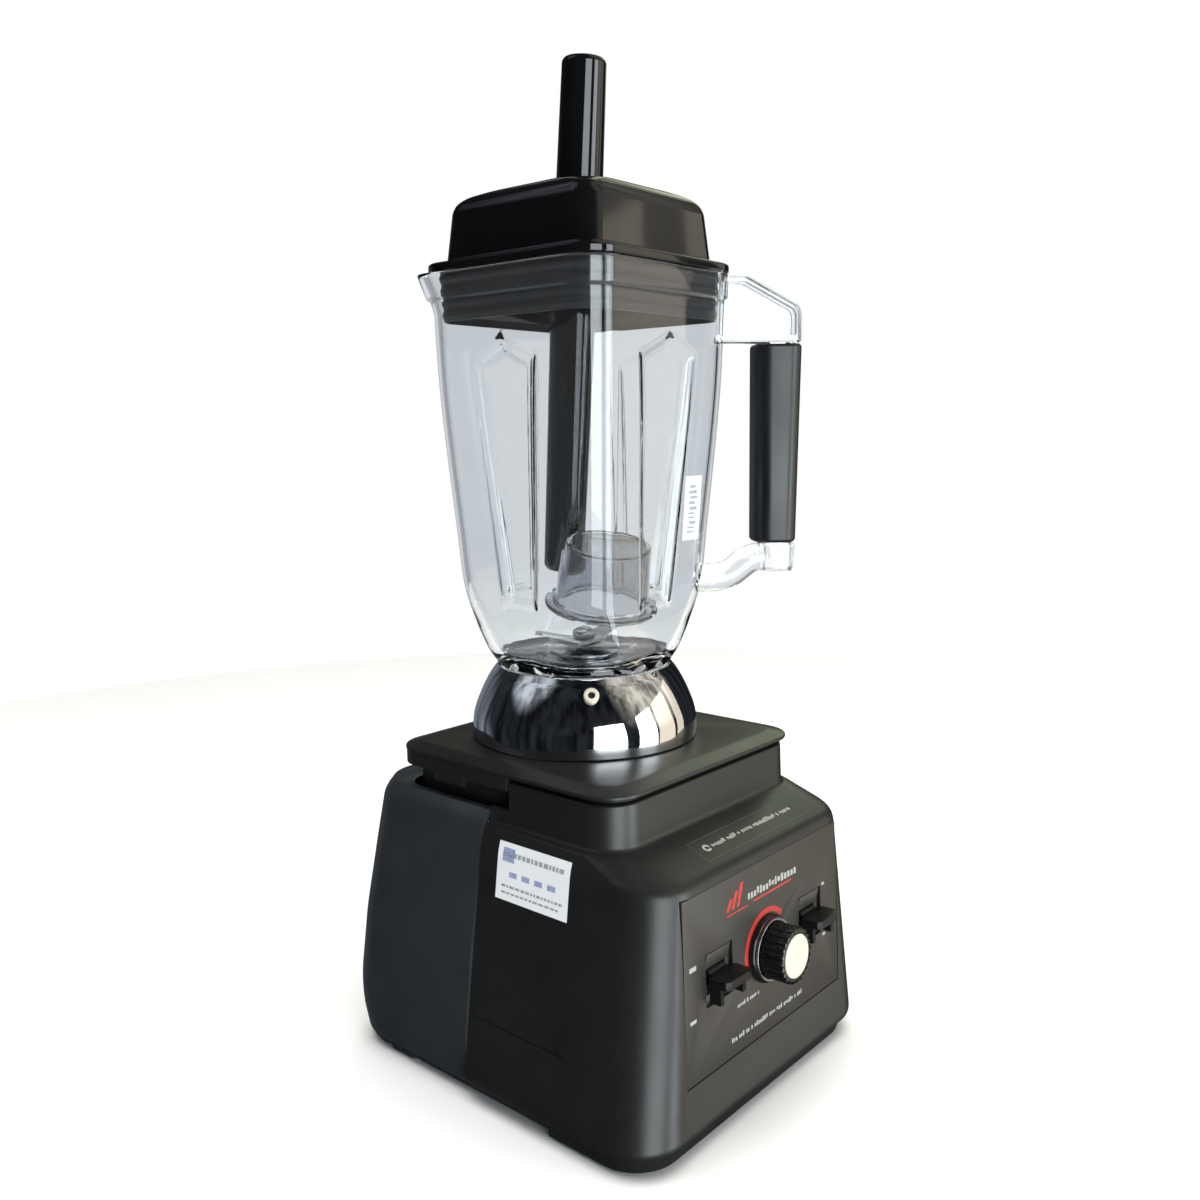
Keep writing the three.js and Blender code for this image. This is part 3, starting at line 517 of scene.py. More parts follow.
def build_top_cap():
    path = softened([
        (CAP_BOTTOM, 1.6, 19), (CAP_BOTTOM + 0.5, 0.5, 19.6), (CAP_BOTTOM + 1, 0, 20), (CAP_BOTTOM + 2.6, 0, 20),
        (CAP_TOP - 0.15, 9.4, 13.5), (CAP_TOP, 11, 12.5),
    ], 0.9, 5)
    slab = lofted([(z, rounded_rect(-CAP_HALF + inset, CAP_HALF - inset, CAP_FRONT + inset, CAP_BACK - inset,
                                    corner, 12)) for z, inset, corner in path])

    def band(inset, low, radius):
        outer = rounded_rect(-CAP_HALF + inset, CAP_HALF - inset, CAP_FRONT, CAP_BACK - inset, radius, 12)
        inner = rounded_rect(-CAP_HALF + inset + WALL, CAP_HALF - inset - WALL, CAP_FRONT,
                             CAP_BACK - inset - WALL, radius - WALL, 12)
        return carved(prism(outer, low, CAP_BOTTOM + 0.5), prism(inner, low - 1, CAP_BOTTOM + 0.499),
                      block(-200, 200, -200, -18.7, 0, 300))

    tabs = [block(side * 83.6 - 1, side * 83.6 + 1, 14, 38, 163.5, 169) for side in (-1, 1)]
    well = rod(22, 150, 200, 72)
    piece("deck", slab, "housing", "base", "housing", ["top_cap"],
          adds=[band(0.6, 168, 19), band(8.5, 149, 13), *tabs], cuts=[well], bevel=0.5, bevel_angle=55)


def build_pad_and_feet():
    low, high = box_mm("centering_pad")
    path = softened([(low.z, 0, 14), (high.z - 3, 0, 14), (high.z, 3, 12)], 1.2, 4)
    pad = bridged(square_rings([(z, high.x - inset, corner) for z, inset, corner in path], 10))
    piece("centering_pad_cover", pad, "rubber", "base", "rubber", ["centering_pad"],
          cuts=[rod(20, 150, 200, 72)], bevel=0.5, bevel_angle=60)
    for corner in ("front_left", "front_right", "rear_left", "rear_right"):
        low, high = box_mm(f"foot_{corner}")
        middle = (low + high) / 2
        half_x, half_y = (high - low).xy / 2
        path = softened([(low.z, 1.0, 4), (low.z + 0.9, 0, 5), (high.z, 0, 5)], 0.6, 4)
        foot = lofted([(z, rounded_rect(-half_x + inset, half_x - inset, -half_y + inset, half_y - inset, radius, 6))
                       for z, inset, radius in path])
        piece(f"foot_pad_{corner}", moved(foot, middle.x, middle.y), "rubber", "base", "rubber",
              [f"foot_{corner}"])


# ---------------- control panel
PRINT = 0.06                     # how far printed marks stand off the surface
PANEL_FACE = 0.6                 # depth of the panel's face behind the housing's


def printed(name, outlines, finish):
    """Flat marks drawn as (x, z) outlines, lying on the panel's face."""
    marks = together(*[facing_out(prism(outline, 0, PRINT)) for outline in outlines])
    piece(name, on_panel(moved(marks, y=PANEL_FACE - 0.005)), finish, "base", "panel")


def bar(left, right, low, high):
    return [(left, low), (right, low), (right, high), (left, high)]


def greeked(left, right, low, high, seed):
    """A line of meaningless short strokes that stands for small print."""
    chance = random.Random(seed)
    marks, x = [], left
    tall = high - low
    while x < right - 0.6:
        width = chance.uniform(0.35, 0.6) * tall
        base = low + chance.choice((0, 0, 0, 0.18)) * tall
        top = low + chance.choice((0.72, 0.72, 0.8, 1.0)) * tall
        marks.append(bar(x, min(x + width, right), base, top))
        x += width + 0.22 * tall + (chance.random() < 0.16) * 0.5 * tall
    return marks


def arc_band(inner, outer, start, end, steps=48):
    return arc(0, 0, outer, start, end, steps) + arc(0, 0, inner, end, start, steps)


def build_panel():
    gap = 0.5
    plate = block(-PANEL_HALF + gap, PANEL_HALF - gap, PANEL_FACE, PANEL_FACE + 2, PANEL_LOW + gap, PANEL_HIGH - gap)
    windows = [block(x - 11.75, x + 11.75, -5, 10, SWITCH_UP - 13.5, SWITCH_UP + 13.5) for x in (-SWITCH_X, SWITCH_X)]
    bore = facing_out(rod(4, -10, 10, 32))
    piece("panel_overlay", on_panel(plate), "panel", "base", "panel", ["control_panel"],
          cuts=[on_panel(window) for window in windows] + [on_panel(bore)], bevel=0.3)
    printed("speed_arc", [arc_band(18.7, 21.6, 44, 206)], "red_ink")
    strokes = [[(x, 31), (x + 2.2, 31), (x + 6.6, 31 + rise), (x + 3.6, 31 + rise)]
               for x, rise in ((-37, 5.5), (-32.2, 8.5), (-27.4, 11.5))]
    printed("badge_strokes", [*strokes, bar(-12, 25, 28.8, 29.8), bar(-36, -17, 28.4, 29.1)], "red_ink")
    printed("badge_letters", greeked(-17, 30, 31.4, 35.6, 3), "white_ink")
    lines = [*greeked(-29, -8, -21.6, -19.4, 5), *greeked(-35, 33, -37.8, -35.2, 7)]
    side_marks = [bar(-69, -63.5, 11.6, 14), bar(-69.5, -64.5, -14.4, -12.6), bar(57, 60, 15.5, 17),
                  bar(57, 60, -13.8, -12.4)]
    printed("panel_small_print", [*lines, *side_marks], "white_ink")


def build_switch(name, side):
    """The switch's seat, the sloping face above its lever, and the lever that turns in it."""
    place = PANEL_FRAME @ Matrix.Translation((side * SWITCH_X, 0, SWITCH_UP))

    def here(*shapes):
        return [placed(shape, place) for shape in shapes]

    seat, case, slot = here(
        block(-14, 14, 2.9, 4.9, -16, 16), block(-10, 10, 4.5, 26, -12, 12), block(-8.2, 8.2, -1, 12, -9, 9))
    piece(f"{name}_switch_seat", seat, "grey_plastic", "base", "grey_plastic", [f"{name}_switch_body"], adds=[case],
          cuts=[slot], bevel=0.3)
    slope = bridged([[(x, 2.8, 4.9), (x, 2.3, 4.9), (x, 0.7, 12.9), (x, 2.8, 12.9)] for x in (9.9, -9.9)])
    piece(f"{name}_switch_slope", *here(slope), "grey_plastic", "base", "grey_plastic", bevel=0.25)
    outline = softened([(-11, -0.8), (-7.4, -0.8), (-7.4, 5.4), (7.4, 5.4), (7.4, -0.8), (11, -0.8), (11, -10),
                        (8.5, -12), (-8.5, -12), (-11, -10)][::-1], 1.2, 4, closed=True)
    cheeks = [block(end * 9.6 - 1.3, end * 9.6 + 1.3, -7.5, -0.9, -10.4, 0) for end in (-1, 1)]
    drum = turned(softened([(0, -7.35), (4.55, -7.35), (4.55, 7.35), (0, 7.35)], 0.4), 48)
    piece(f"{name}_lever", *here(prism(outline, -2, 2.2)), "paddle", f"{name}_lever", "gloss_black",
          [f"{name}_paddle"], adds=here(*cheeks, moved(spun(drum, 90, "Y"), y=5.4)), bevel=0.5)


def build_knob():
    def on_face(shape):
        """Puts a shape made along +Z on the panel, with its foot just off its face."""
        return on_panel(moved(facing_out(shape), y=PANEL_FACE - 0.4))

    outline = ribbed(24, 192, 14.15, 0.45, 3)
    sections = [(2, 1.0), (16.6, 1.0), (17.2, 0.985), (17.5, 0.95)]
    grip = lofted([(z, [(x * scale, y * scale) for x, y in outline]) for z, scale in sections])
    skirt = turned(softened([(0, 0), (18, 0), (17.8, 1.6), (16.9, 2.7), (0, 2.7)], 0.5))
    piece("knob_body", on_face(grip), "knob_grip", "knob", "satin_black", ["speed_knob"],
          adds=[on_face(skirt), on_face(rod(3, -9, 1, 32))], cuts=[on_face(rod(11.9, 16.3, 25, 72))])
    piece("knob_bright_ring", on_face(tube(14.9, 16.5, 2.95, 4.4)), "dull_chrome", "knob", "chrome", ["knob_ring"])
    crown = turned(softened([(0, 16.6), (11.35, 16.6), (11.35, 17.7), (10.2, 18.1), (0, 18.1)], 0.4), 72)
    piece("knob_end_cap", on_face(crown), "ivory", "knob", "ivory", ["knob_cap"])


# ---------------- labels and lines on the base
def front_side_x(z):
    """Half-width of the front housing's side at a height."""
    for (low, half_low, *_), (high, half_high, *_) in zip(FRONT_PATH, FRONT_PATH[1:]):
        if low <= z <= high:
            return half_low + (half_high - half_low) * (z - low) / (high - low)
    return FRONT_PATH[-1][1]


def on_left_side(name, marks, finish, proud):
    """Thin marks on the left side of the front housing, as (y low, y high, z low, z high) boxes that follow it."""
    shapes = []
    for y_low, y_high, z_low, z_high in marks:
        rows = [z_low + (z_high - z_low) * step / 24 for step in range(25)]
        rings = []
        for z in rows:
            x = -front_side_x(z)
            rings.append([(x - proud, y_low, z), (x - proud, y_high, z), (x + 0.1, y_high, z), (x + 0.1, y_low, z)])
        shapes.append(bridged([ring[::-1] for ring in rings]))
    piece(name, together(*shapes), finish, "base", "housing")


def build_sticker():
    y_low, y_high, z_low, z_high = -69.0, -18.5, 113.5, 143.0
    on_left_side("side_label", [(y_low, y_high, z_low, z_high)], "label", 0.12)
    chance = random.Random(11)
    rows = []
    for z, tall in ((137.5, 2.4), (121.0, 1.3), (117.6, 1.1)):
        y = y_high - 4
        while y > y_low + 6:
            width = chance.uniform(1.2, 3.4)
            rows.append((y - width, y, z - tall / 2, z + tall / 2))
            y -= width + 0.8
    on_left_side("side_label_lines", rows, "label_grey", 0.16)
    icons = [(y_high - 9 - 9 * index - 5.5, y_high - 9 - 9 * index, 126.0, 128.8) for index in range(4)]
    icons.append((y_high - 12, y_high - 3.5, 133.5, 140.5))
    on_left_side("side_label_marks", icons, "label_blue", 0.16)


SHELF_LENGTH = 28                # of the sloping shelf above the panel, up its slope


def shelf_point(x, share, proud):
    """A point on the shelf: share 0 at its lower edge, 1 at the neck."""
    low, high = Vector((x, -122.7, 138.1)), Vector((x, -96.8, 147.6))
    normal = Vector((0, low.z - high.z, high.y - low.y)).normalized()
    return low.lerp(high, share) + normal * proud


def build_shelf_print():
    def on_shelf(outlines):
        """Thin marks from outlines with x across and y up the shelf's slope."""
        return together(*[bridged([[shelf_point(x, y / SHELF_LENGTH, proud) for x, y in outline]
                                   for proud in (-0.05, PRINT)]) for outline in outlines])

    badge = [(-30.5 + x, 14.7 + y) for x, y in arc_band(1.3, 2.6, 0, 330, 18)]
    piece("shelf_small_print", on_shelf([*greeked(-26, 50, 13.2, 16.2, 21), badge]), "white_ink", "base", "housing")
    lines = [bar(-39, 60, 6.5, 6.8), bar(-39, -38.6, 6.5, 22), bar(59.6, 60, 6.5, 22), bar(-39, 60, 21.7, 22)]
    piece("shelf_frame", on_shelf(lines), "grey_ink", "base", "housing")


# ---------------- jug
RIM_TOP = 443.0
# Height, half-width and corner radius of the jug's outside and inside.
JUG_OUTSIDE = smooth_curve([
    (222.8, 49.4, 48.4), (230, 50.5, 40), (238, 51.2, 33), (246, 52, 28), (267, 54.6, 21), (296, 56.7, 20),
    (375, 62.3, 20), (428, 64.2, 20),
], 1.6)
JUG_INSIDE = smooth_curve([
    (228, 44, 34), (232, 46.2, 33), (246, 48.7, 26), (267, 51.3, 18), (296, 53.4, 17), (375, 59.0, 17),
    (428, 60.8, 17), (441, 61.4, 17),
], 1.6)
FLUTE_OUTLINE = [(-25, 397), (-13, 258), (13, 258), (25, 397), (0, 408)]
FACE_PARTS, CORNER_PARTS = 64, 12


def flute_depth(across, height):
    """How far a jug face is pressed in at a place: a five-sided flute with sloping sides, deeper at its foot."""
    inset = 99.0
    for (ax, az), (bx, bz) in zip(FLUTE_OUTLINE, FLUTE_OUTLINE[1:] + FLUTE_OUTLINE[:1]):
        length = math.hypot(bx - ax, bz - az)
        inset = min(inset, ((bx - ax) * (height - az) - (bz - az) * (across - ax)) / length)
    if inset <= 0:
        return 0.0
    share = min(1.0, inset / 6.5)
    deepest = 2.4 + 2.6 * min(1.0, max(0.0, (400 - height) / 130))
    return deepest * share * share * (3 - 2 * share)


def spout_reach(direction, height):
    """How far the rim is drawn out at the corner opposite the handle."""
    away = math.atan2(math.sin(direction - math.radians(135)), math.cos(direction - math.radians(135)))
    rise = min(1.0, max(0.0, (height - 420) / (RIM_TOP - 420)))
    return 6.5 * rise ** 1.4 * math.exp(-(away / 0.22) ** 2)


def jug_ring(height, half, corner):
    points = []
    for x, y in rounded_square(half, corner, CORNER_PARTS, FACE_PARTS):
        across, outward = (x, y) if abs(y) > abs(x) else (y, x)
        pressed = flute_depth(across, height) if abs(across) < half - corner + 1 else 0.0
        outward -= math.copysign(pressed, outward)
        x, y = (across, outward) if abs(y) > abs(x) else (outward, across)
        direction = math.atan2(y, x)
        reach = spout_reach(direction, height)
        points.append((x + reach * math.cos(direction), y + reach * math.sin(direction), height))
    return points


def build_jug():
    rim = softened([(428.2, 64.3, 20), (429.6, 65.9, 21), (RIM_TOP, 66.2, 21), (RIM_TOP, 61.6, 17),
                    (441, 61.4, 17)], 1.5, 5)
    sections = [
        (206.2, 45.0, 44.6), (206.6, 45.6, 45.2), (214, 45.8, 45.4), (221.8, 45.8, 45.4), (222.6, 46.4, 46),
        (222.8, 48.6, 47.8), *JUG_OUTSIDE, *rim, *reversed(JUG_INSIDE[:-1]),
        (226.6, 40, 31), (226, 32, 28), (226, 22, 21.5), (225.6, 17.6, 17.5), (225, 17.2, 17.1), (206.8, 17.2, 17.1),
        (206.2, 17.6, 17.5), (206.2, 32, 31)]
    piece("jug_body", bridged([jug_ring(*section) for section in sections], loop=True), "clear", "jug_unit",
          "clear_plastic", ["jug"], adds=handle_frame(), smooth_angle=32)


def along_handle(shape):
    """Turns a shape made in the X-Z plane towards the handle's corner of the jug."""
    return spun(shape, -45)


def handle_plate(outline, half):
    """A plate in the handle's plane, from an (outwards, height) outline, with rounded long edges."""
    obj = bare_object("plate", prism(outline, -half, half))
    beveled(obj, 1.6, 50)
    return along_handle(facing_out(taken_back(obj)))


def handle_frame():
    """The clear bracket at the rim, a thin web inside a deep edge, and the round arm and foot below the grip."""
    upper = softened([(77.2, 405.2), (126.3, 404.6), (126.2, 421.7), (124.4, 425.7), (94.1, 442.6), (78.5, 442.2)],
                     2.2, 5, closed=True)
    hollow = softened([(70, 409.2), (122.6, 408.6), (122.6, 420.6), (121.4, 423.4), (93.2, 438.8), (70, 438.4)],
                      1.6, 5, closed=True)
    web = 1.6
    pockets = [along_handle(facing_out(prism(hollow, low, high))) for low, high in ((web, 12), (-12, -web))]
    bracket = carved(handle_plate(upper, 9), *pockets)
    arm_path = softened([(66.5, 0, 269.5), (84, 0, 269.5), (98, 0, 281), (112, 0, 282), (122, 0, 281.8)], 9, 7)
    arm = swept(arm_path, [(u * 8.6, v * 8.2) for u, v in arc(0, 0, 1, 0, 360, 27)[:-1]])
    foot = softened([(104.5, 273.4), (121.6, 273.6), (122.9, 289.8), (105, 289.8)], 1.8, 4, closed=True)
    core = block(108, 117, -6, 6, 288, 406)
    return [bracket, along_handle(arm), handle_plate(foot, 9), along_handle(core)]


def build_grip():
    low, high = 290.7, 403.8
    path = softened([(low, 123.2, 1.1), (low + 1.4, 123.3, 0), (high - 1.4, 126.2, 0), (high, 126.3, 1.1)], 0.9, 4)
    sections = [(z, rounded_rect(98.9 + inset, outer - inset, -14.5 + inset, 14.5 - inset, 9 - inset, 10))
                for z, outer, inset in path]
    core = block(107.6, 117.4, -6.4, 6.4, 280, 420)
    piece("grip_sleeve", along_handle(lofted(sections)), "satin_black", "jug_unit", "satin_black",
          ["handle_grip"], cuts=[along_handle(core)])


# The collar's outside from its foot up, as (radius, height).
COLLAR_CURVE = [(radius, height) for height, radius in smooth_curve([
    (181.0, 65.4), (186, 65.6), (193, 64.9), (199.5, 63), (210, 58.4), (217.5, 54), (221.4, 50.9)], 1.5)]


def build_collar():
    profile = softened([
        (62.6, 180.6), (65.3, 180.6), *COLLAR_CURVE, (50.4, 222),
        (46.2, 222), (46.2, 213), (54.5, 206), (60, 197), (62.2, 190),
    ], 1.2, 6, closed=True)
    shell = piece("collar_shell", turned(profile, 128, loop=True), "chrome", "jug_unit", "chrome",
                  ["jug_collar"], smooth_angle=55)
    # Faces turned towards the drive axis take dark plastic instead of chrome: painted shade inside the collar.
    shell.data.materials.append(FINISH["dark_housing"])
    for face in shell.data.polygons:
        face.material_index = int(face.normal.xy.dot(face.center.xy) < 0)
    low, high = box_mm("collar_screw")
    middle = (low + high) / 2
    toward = Matrix.Translation(middle) @ Matrix.Rotation(math.radians(-45), 4, "Z") @ Matrix.Rotation(
        math.radians(58), 4, "X")
    head = turned(softened([(0, -1.2), (4.2, -1.2), (4.2, 0.8), (3.4, 1.2), (2.0, 1.2), (1.9, -0.3), (0, -0.3)],
                           0.25, 4), 48)
    # The steel screw head is given the ivory finish: a painted highlight where the collar shows a white reflection.
    piece("collar_screw_head_painted_glint", placed(head, toward), "ivory", "jug_unit", "steel", ["collar_screw"])
    # A near-black disc on the floor of the screw's socket: painted shade in the hole.
    plug = turned([(0, -0.25), (1.85, -0.25), (1.85, 0.0), (0, 0.05)], 32)
    piece("collar_screw_socket_painted_shade", placed(plug, toward), "recess", "jug_unit", "steel")


def build_jug_label():
    """A small blank sticker on the jug's front face near the handle."""
    def flat(left, right, low, high, proud):
        y_low, y_high = [-next(half for height, half, _ in JUG_OUTSIDE if height >= z) for z in (low, high)]
        return bridged([[(left, y_low - out, low), (right, y_low - out, low), (right, y_high - out, high),
                         (left, y_high - out, high)] for out in (proud, 0.02)])

    piece("jug_sticker", flat(20, 35, 294, 330, 0.12), "label", "jug_unit", "clear_plastic")
    chance = random.Random(4)
    marks, z = [], 298.0
    while z < 325:
        tall = chance.uniform(0.9, 2.0)
        marks.append(flat(23.5 + chance.uniform(0, 2), 31 + chance.uniform(-2, 1.5), z, z + tall, 0.18))
        z += tall + 1.3
    piece("jug_sticker_marks", together(*marks), "label_grey", "jug_unit", "clear_plastic")


# ---------------- bearing housing and blades
def build_bearing_housing():
    profile = softened([
        (11.4, 201), (16.9, 201), (16.9, 226.4), (20.5, 226.4), (20.5, 228.4), (9, 230), (5.4, 230), (5.4, 222.6),
        (11.4, 222.6),
    ], 0.6, 4, closed=True)
    piece("bearing_cup", turned(profile, 72, loop=True), "steel", "jug_unit", "steel", ["bearing_housing"])


def build_shaft():
    shaft = turned(softened([(0, 190), (4, 190), (4, 240.2), (3.4, 240.6), (0, 240.6)], 0.4), 48)
    spline = prism(ribbed(6, 96, 7.3, 0.9, 2.5), 186, 198.6)
    piece("blade_spindle", spline, "steel", "blade_set", "steel", ["blade_shaft"], adds=[shaft], bevel=0.3)


BLADE_REACH, BLADE_GROUND = 36, 3.0   # half-length, and the width of the ground edge at the tip


def blade_arms(hub_low, hub_half, rise):
    """A folded two-armed blade with a ground cutting edge on the leading side of each arm."""
    rings = []
    for x in [-BLADE_REACH + 2 * BLADE_REACH * step / 48 for step in range(49)]:
        out = max(0.0, (abs(x) - hub_half) / (BLADE_REACH - hub_half))
        z = hub_low + rise * out + 0.6 * out * (1 - out)
        half = 7.5 - 4.2 * out
        lead, trail = (-half - 0.6 * out, half - 1.0 * out) if x > 0 else (-half + 1.0 * out, half + 0.6 * out)
        if x > 0:
            ring = [(lead, 0.1 + 0.2 * out), (trail, 0.1), (trail, 1.7), (trail - 0.1, 1.8),
                    (lead + BLADE_GROUND * out + 0.1, 1.8), (lead, 1.7 - 1.2 * out)]
        else:
            ring = [(lead, 0.1), (trail, 0.1 + 0.2 * out), (trail, 1.7 - 1.2 * out),
                    (trail - BLADE_GROUND * out - 0.1, 1.8), (lead + 0.1, 1.8), (lead, 1.7)]
        rings.append([(x, y, z + up) for y, up in ring])
    return bridged(rings)


def build_blades():
    bore = rod(4.3, 200, 260)
    piece("lower_blade_steel", spun(blade_arms(231, 11, 2.4), 90), "steel", "blade_set", "steel",
          ["lower_blade"], cuts=[bore], smooth_angle=20)
    piece("upper_blade_steel", blade_arms(233.2, 9, 8.6), "steel", "blade_set", "steel",
          ["upper_blade"], cuts=[bore], smooth_angle=20)
    hexagon = arc(0, 0, 6.6, 0, 300, 5)
    nut = lofted([(235.4, hexagon), (239.4, hexagon), (240.6, [(x * 0.86, y * 0.86) for x, y in hexagon])])
    dome = turned(softened([(0, 239), (5, 239), (4.6, 241.4), (0, 242.6)], 1.2, 5), 48)
    piece("blade_cap_nut", nut, "steel", "blade_set", "steel", ["blade_nut"], adds=[dome],
          cuts=[rod(4.3, 230, 240.9)], bevel=0.25, bevel_angle=25, smooth_angle=30)


# ---------------- lid, tamper and cup
WELL_FLOOR = 484.0               # floor of the round well in the lid's crown


def build_lid():
    outside = softened([
        (421, 55.4, 12), (422, 56.6, 13), (443.2, 57, 14), (443.4, 65.2, 20), (444.2, 66, 20.5), (447.6, 66, 20.5),
        (448.5, 65.2, 20), (448.7, 57.4, 12), (450.4, 55.6, 11), (477, 53.3, 11.5), (481, 52, 12.5), (484, 49.2, 15),
        (486.6, 43.4, 21.5), (488.3, 37, 28), (488.8, 33, 31),
    ], 2.4, 6)
    inside = [(419, 53.6, 10), (445, 53.6, 10), (450, 52.4, 8.5), (475, 50.4, 9), (479, 48, 11), (481, 42, 17)]
    sleeve = rod(26.1, 464, 500, 96)
    well = turned([(0, WELL_FLOOR), (31.5, WELL_FLOOR), (32, WELL_FLOOR + 2.6), (32.2, 510), (0, 510)], 96)
    hole = rod(23.5, 400, 510, 96)
    hollow = carved(bridged(square_rings(inside, 16)), sleeve)
    piece("lid_dome", bridged(square_rings(outside, 16)), "gloss_black", "lid", "gloss_black", ["lid_cap"],
          cuts=[hollow, well, hole], bevel=0.4)
    ribs = 4
    low, high = 417.0, 443.1
    wave = []
    for step in range(ribs * 8 + 1):
        share = step / (ribs * 8)
        swell = 0.6 * (1 - math.cos(2 * math.pi * ribs * share))
        wave.append((low + (high - low) * share, 58.6 + swell, 15.6 + swell))
    inner = [(z, 57.4, 14.4) for z in (high, low)]
    rings = square_rings(wave + inner, 12)
    piece("lid_seal_ribs", bridged(rings, loop=True), "seal", "lid", "seal", ["lid_seal"], smooth_angle=60)


def build_tamper():
    axis = Vector(JOINTS["tamper_slide"]["axis"])
    place = Matrix.Translation((0, 0, WELL_FLOOR)) @ Vector((0, 0, 1)).rotation_difference(axis).to_matrix().to_4x4()
    profile = softened([
        (0, -210.4), (8.5, -210.4), (11, -207.9), (13.4, -20), (13.4, 2.6), (25.2, 2.6), (25.2, 4.8), (14.2, 5.4),
        (13.2, 6.8), (12.4, 73.8), (10.6, 75.9), (0, 76.2),
    ], 1.6, 6)
    piece("tamper_rod", placed(turned(profile), place), "gloss_black", "tamper", "gloss_black",
          ["tamper"], smooth_angle=50)


def build_cup():
    tilt = Matrix.Rotation(math.radians(13), 4, "X") @ Matrix.Rotation(math.radians(-6.5), 4, "Y")
    place = Matrix.Translation((-5.5, -18, 257.5)) @ tilt
    profile = softened([
        (0, 34.8), (21.2, 34.8), (23.4, 0), (31, 0), (31, 2), (26.2, 2.3), (25.4, 4.2), (23.6, 37), (20.6, 37),
        (20, 36.2), (0, 36.2),
    ], 1.1, 5)
    shell = turned(profile)
    notches = [spun(block(-3.4, 3.4, 28.6, 34, -1, 3), 90 * turn + 20) for turn in range(4)]
    piece("measuring_cup_shell", placed(shell, place), "smoke", "cup", "smoke_plastic", ["measuring_cup"],
          cuts=[placed(notch, place) for notch in notches], smooth_angle=35)


# ---------------- back of the base
def on_back(shape, x):
    """Turns a shape made along +Z so that it points out of the base's back."""
    return moved(spun(shape, -90, "X"), x=x, y=101.4, z=30)


def build_back_fittings():
    gland = softened([(3.8, -8), (5.6, -8), (5.6, 2), (9.5, 2), (8.6, 5), (3.8, 5)], 0.7, 4, closed=True)
    piece("gland_bushing", on_back(turned(gland, 64, loop=True), -50), "rubber", "base", "rubber",
          ["cord_gland"])
    breaker = softened([(0, -24), (8.5, -24), (8.5, -6), (5.8, -6), (5.8, 1.6), (4, 1.6), (4, -3), (0, -3)], 0.4, 4)
    piece("breaker_case", on_back(turned(breaker, 64), 50), "satin_black", "base", "satin_black",
          ["overload_breaker"])
    button = softened([(0, 0), (3.6, 0), (3.6, 4.6), (2.6, 5.4), (0, 5.6)], 0.7, 4)
    piece("breaker_button", on_back(turned(button, 48), 50), "red_ink", "reset", "satin_black",
          ["reset_button"])


# ---------------- CAD nodes that stay in view
# Slots whose finish has another name here; any other slot's finish has the slot's own name.
NODE_FINISH = {"housing": "dark_housing", "cast_aluminium": "aluminium"}


def dress_cad_nodes():
    slots = {part["node"]: part["material_slot"] for part in frame["record"]["subparts"]}
    for name, node in frame["nodes"].items():
        if node.hide_render:
            continue
        slot = slots[name]
        node.data.materials.clear()
        node.data.materials.append(FINISH[NODE_FINISH.get(slot, slot)])


# ---------------- floor, light and camera
CAMERA_PLACE = Vector((-489.0, -432.9, 356.3))
CAMERA_HEADING, CAMERA_PITCH, CAMERA_ROLL = -49.15, 6.3, -0.61
CAMERA_LENS, CAMERA_SHIFT = 33.94, (0.0032, -0.0378)


def build_floor():
    disc = turned(softened([(0, -4), (1150, -4), (1150, 0), (0, 0)], 1, 3), 128)
    floor = bare_object("floor", disc)
    floor.data.materials.append(surface("pale_floor", (0.82, 0.82, 0.815), 0.6, 90, shade=0.02, mottle=3))
    floor.visible_glossy = False
    floor.visible_shadow = False


LIGHT_AIM = 250.0                # the height on the drive axis that the lights are turned towards
WALL_AWAY, WALL_TALL = 2200, 2500
DAYLIGHT, WARM, OVERHEAD = (0.90, 0.97, 1.0), (1.0, 0.88, 0.71), (1.0, 0.99, 0.97)


def softbox(name, heading, distance, height, width, tall, power, color, shines=True):
    """An area light at a heading from +X in degrees; shines is whether it shows in glossy surfaces."""
    light = bpy.data.lights.new(name, "AREA")
    light.shape = "RECTANGLE"
    light.size, light.size_y = width * MM, tall * MM
    light.energy = power
    light.color = color
    lamp = bpy.data.objects.new(name, light)
    angle = math.radians(heading)
    place = Vector((distance * math.cos(angle), distance * math.sin(angle), height))
    lamp.location = place * MM
    lamp.rotation_euler = (Vector((0, 0, LIGHT_AIM)) - place).to_track_quat("-Z", "Y").to_euler()
    lamp.visible_camera = False
    lamp.visible_glossy = shines
    bpy.context.scene.collection.objects.link(lamp)


def build_light():
    softbox("window_left", -113.5, WALL_AWAY, 0, 1303, WALL_TALL, 62, DAYLIGHT)
    softbox("window_right", -73, WALL_AWAY, 0, 815, WALL_TALL, 39, DAYLIGHT)
    softbox("warm_wall", -48.6, WALL_AWAY, 0, 880, WALL_TALL, 7.4, WARM)
    softbox("warm_corner", -27.4, WALL_AWAY, 0, 455, WALL_TALL, 3.2, WARM)
    softbox("overhead", 200, 120, 2300, 2300, 2300, 95, OVERHEAD, shines=False)


# The room as reflections see it: its dark colour, then each lighter patch's colour, the direction of its middle,
# and the cosines of the angles from there at which it starts and is full.
ROOM_DARK = (0.016, 0.018, 0.022, 1)
ROOM_PATCHES = [
    ((0.16, 0.18, 0.21, 1), (0.25, 0.9, -0.35), 0.7, 0.97),      # low at the back
    ((0.46, 0.50, 0.55, 1), (-0.54, 0.45, 0.70), 0.9, 0.985),    # high at the back left
    ((0.60, 0.56, 0.48, 1), (0.45, -0.6, 0.66), 0.75, 0.97),     # high at the front right
    ((1.5, 1.66, 1.22, 1), (0.75, 0.30, 0.62), 0.88, 0.98),      # high on the right
]
STREAKS = (7, 7, 0.7)            # the room's unevenness is stretched upwards
BACKDROP = (0.756, 0.654, 0.0)   # clear pieces show white this way, and less of it the other ways
BACKDROP_LEAST = 0.30


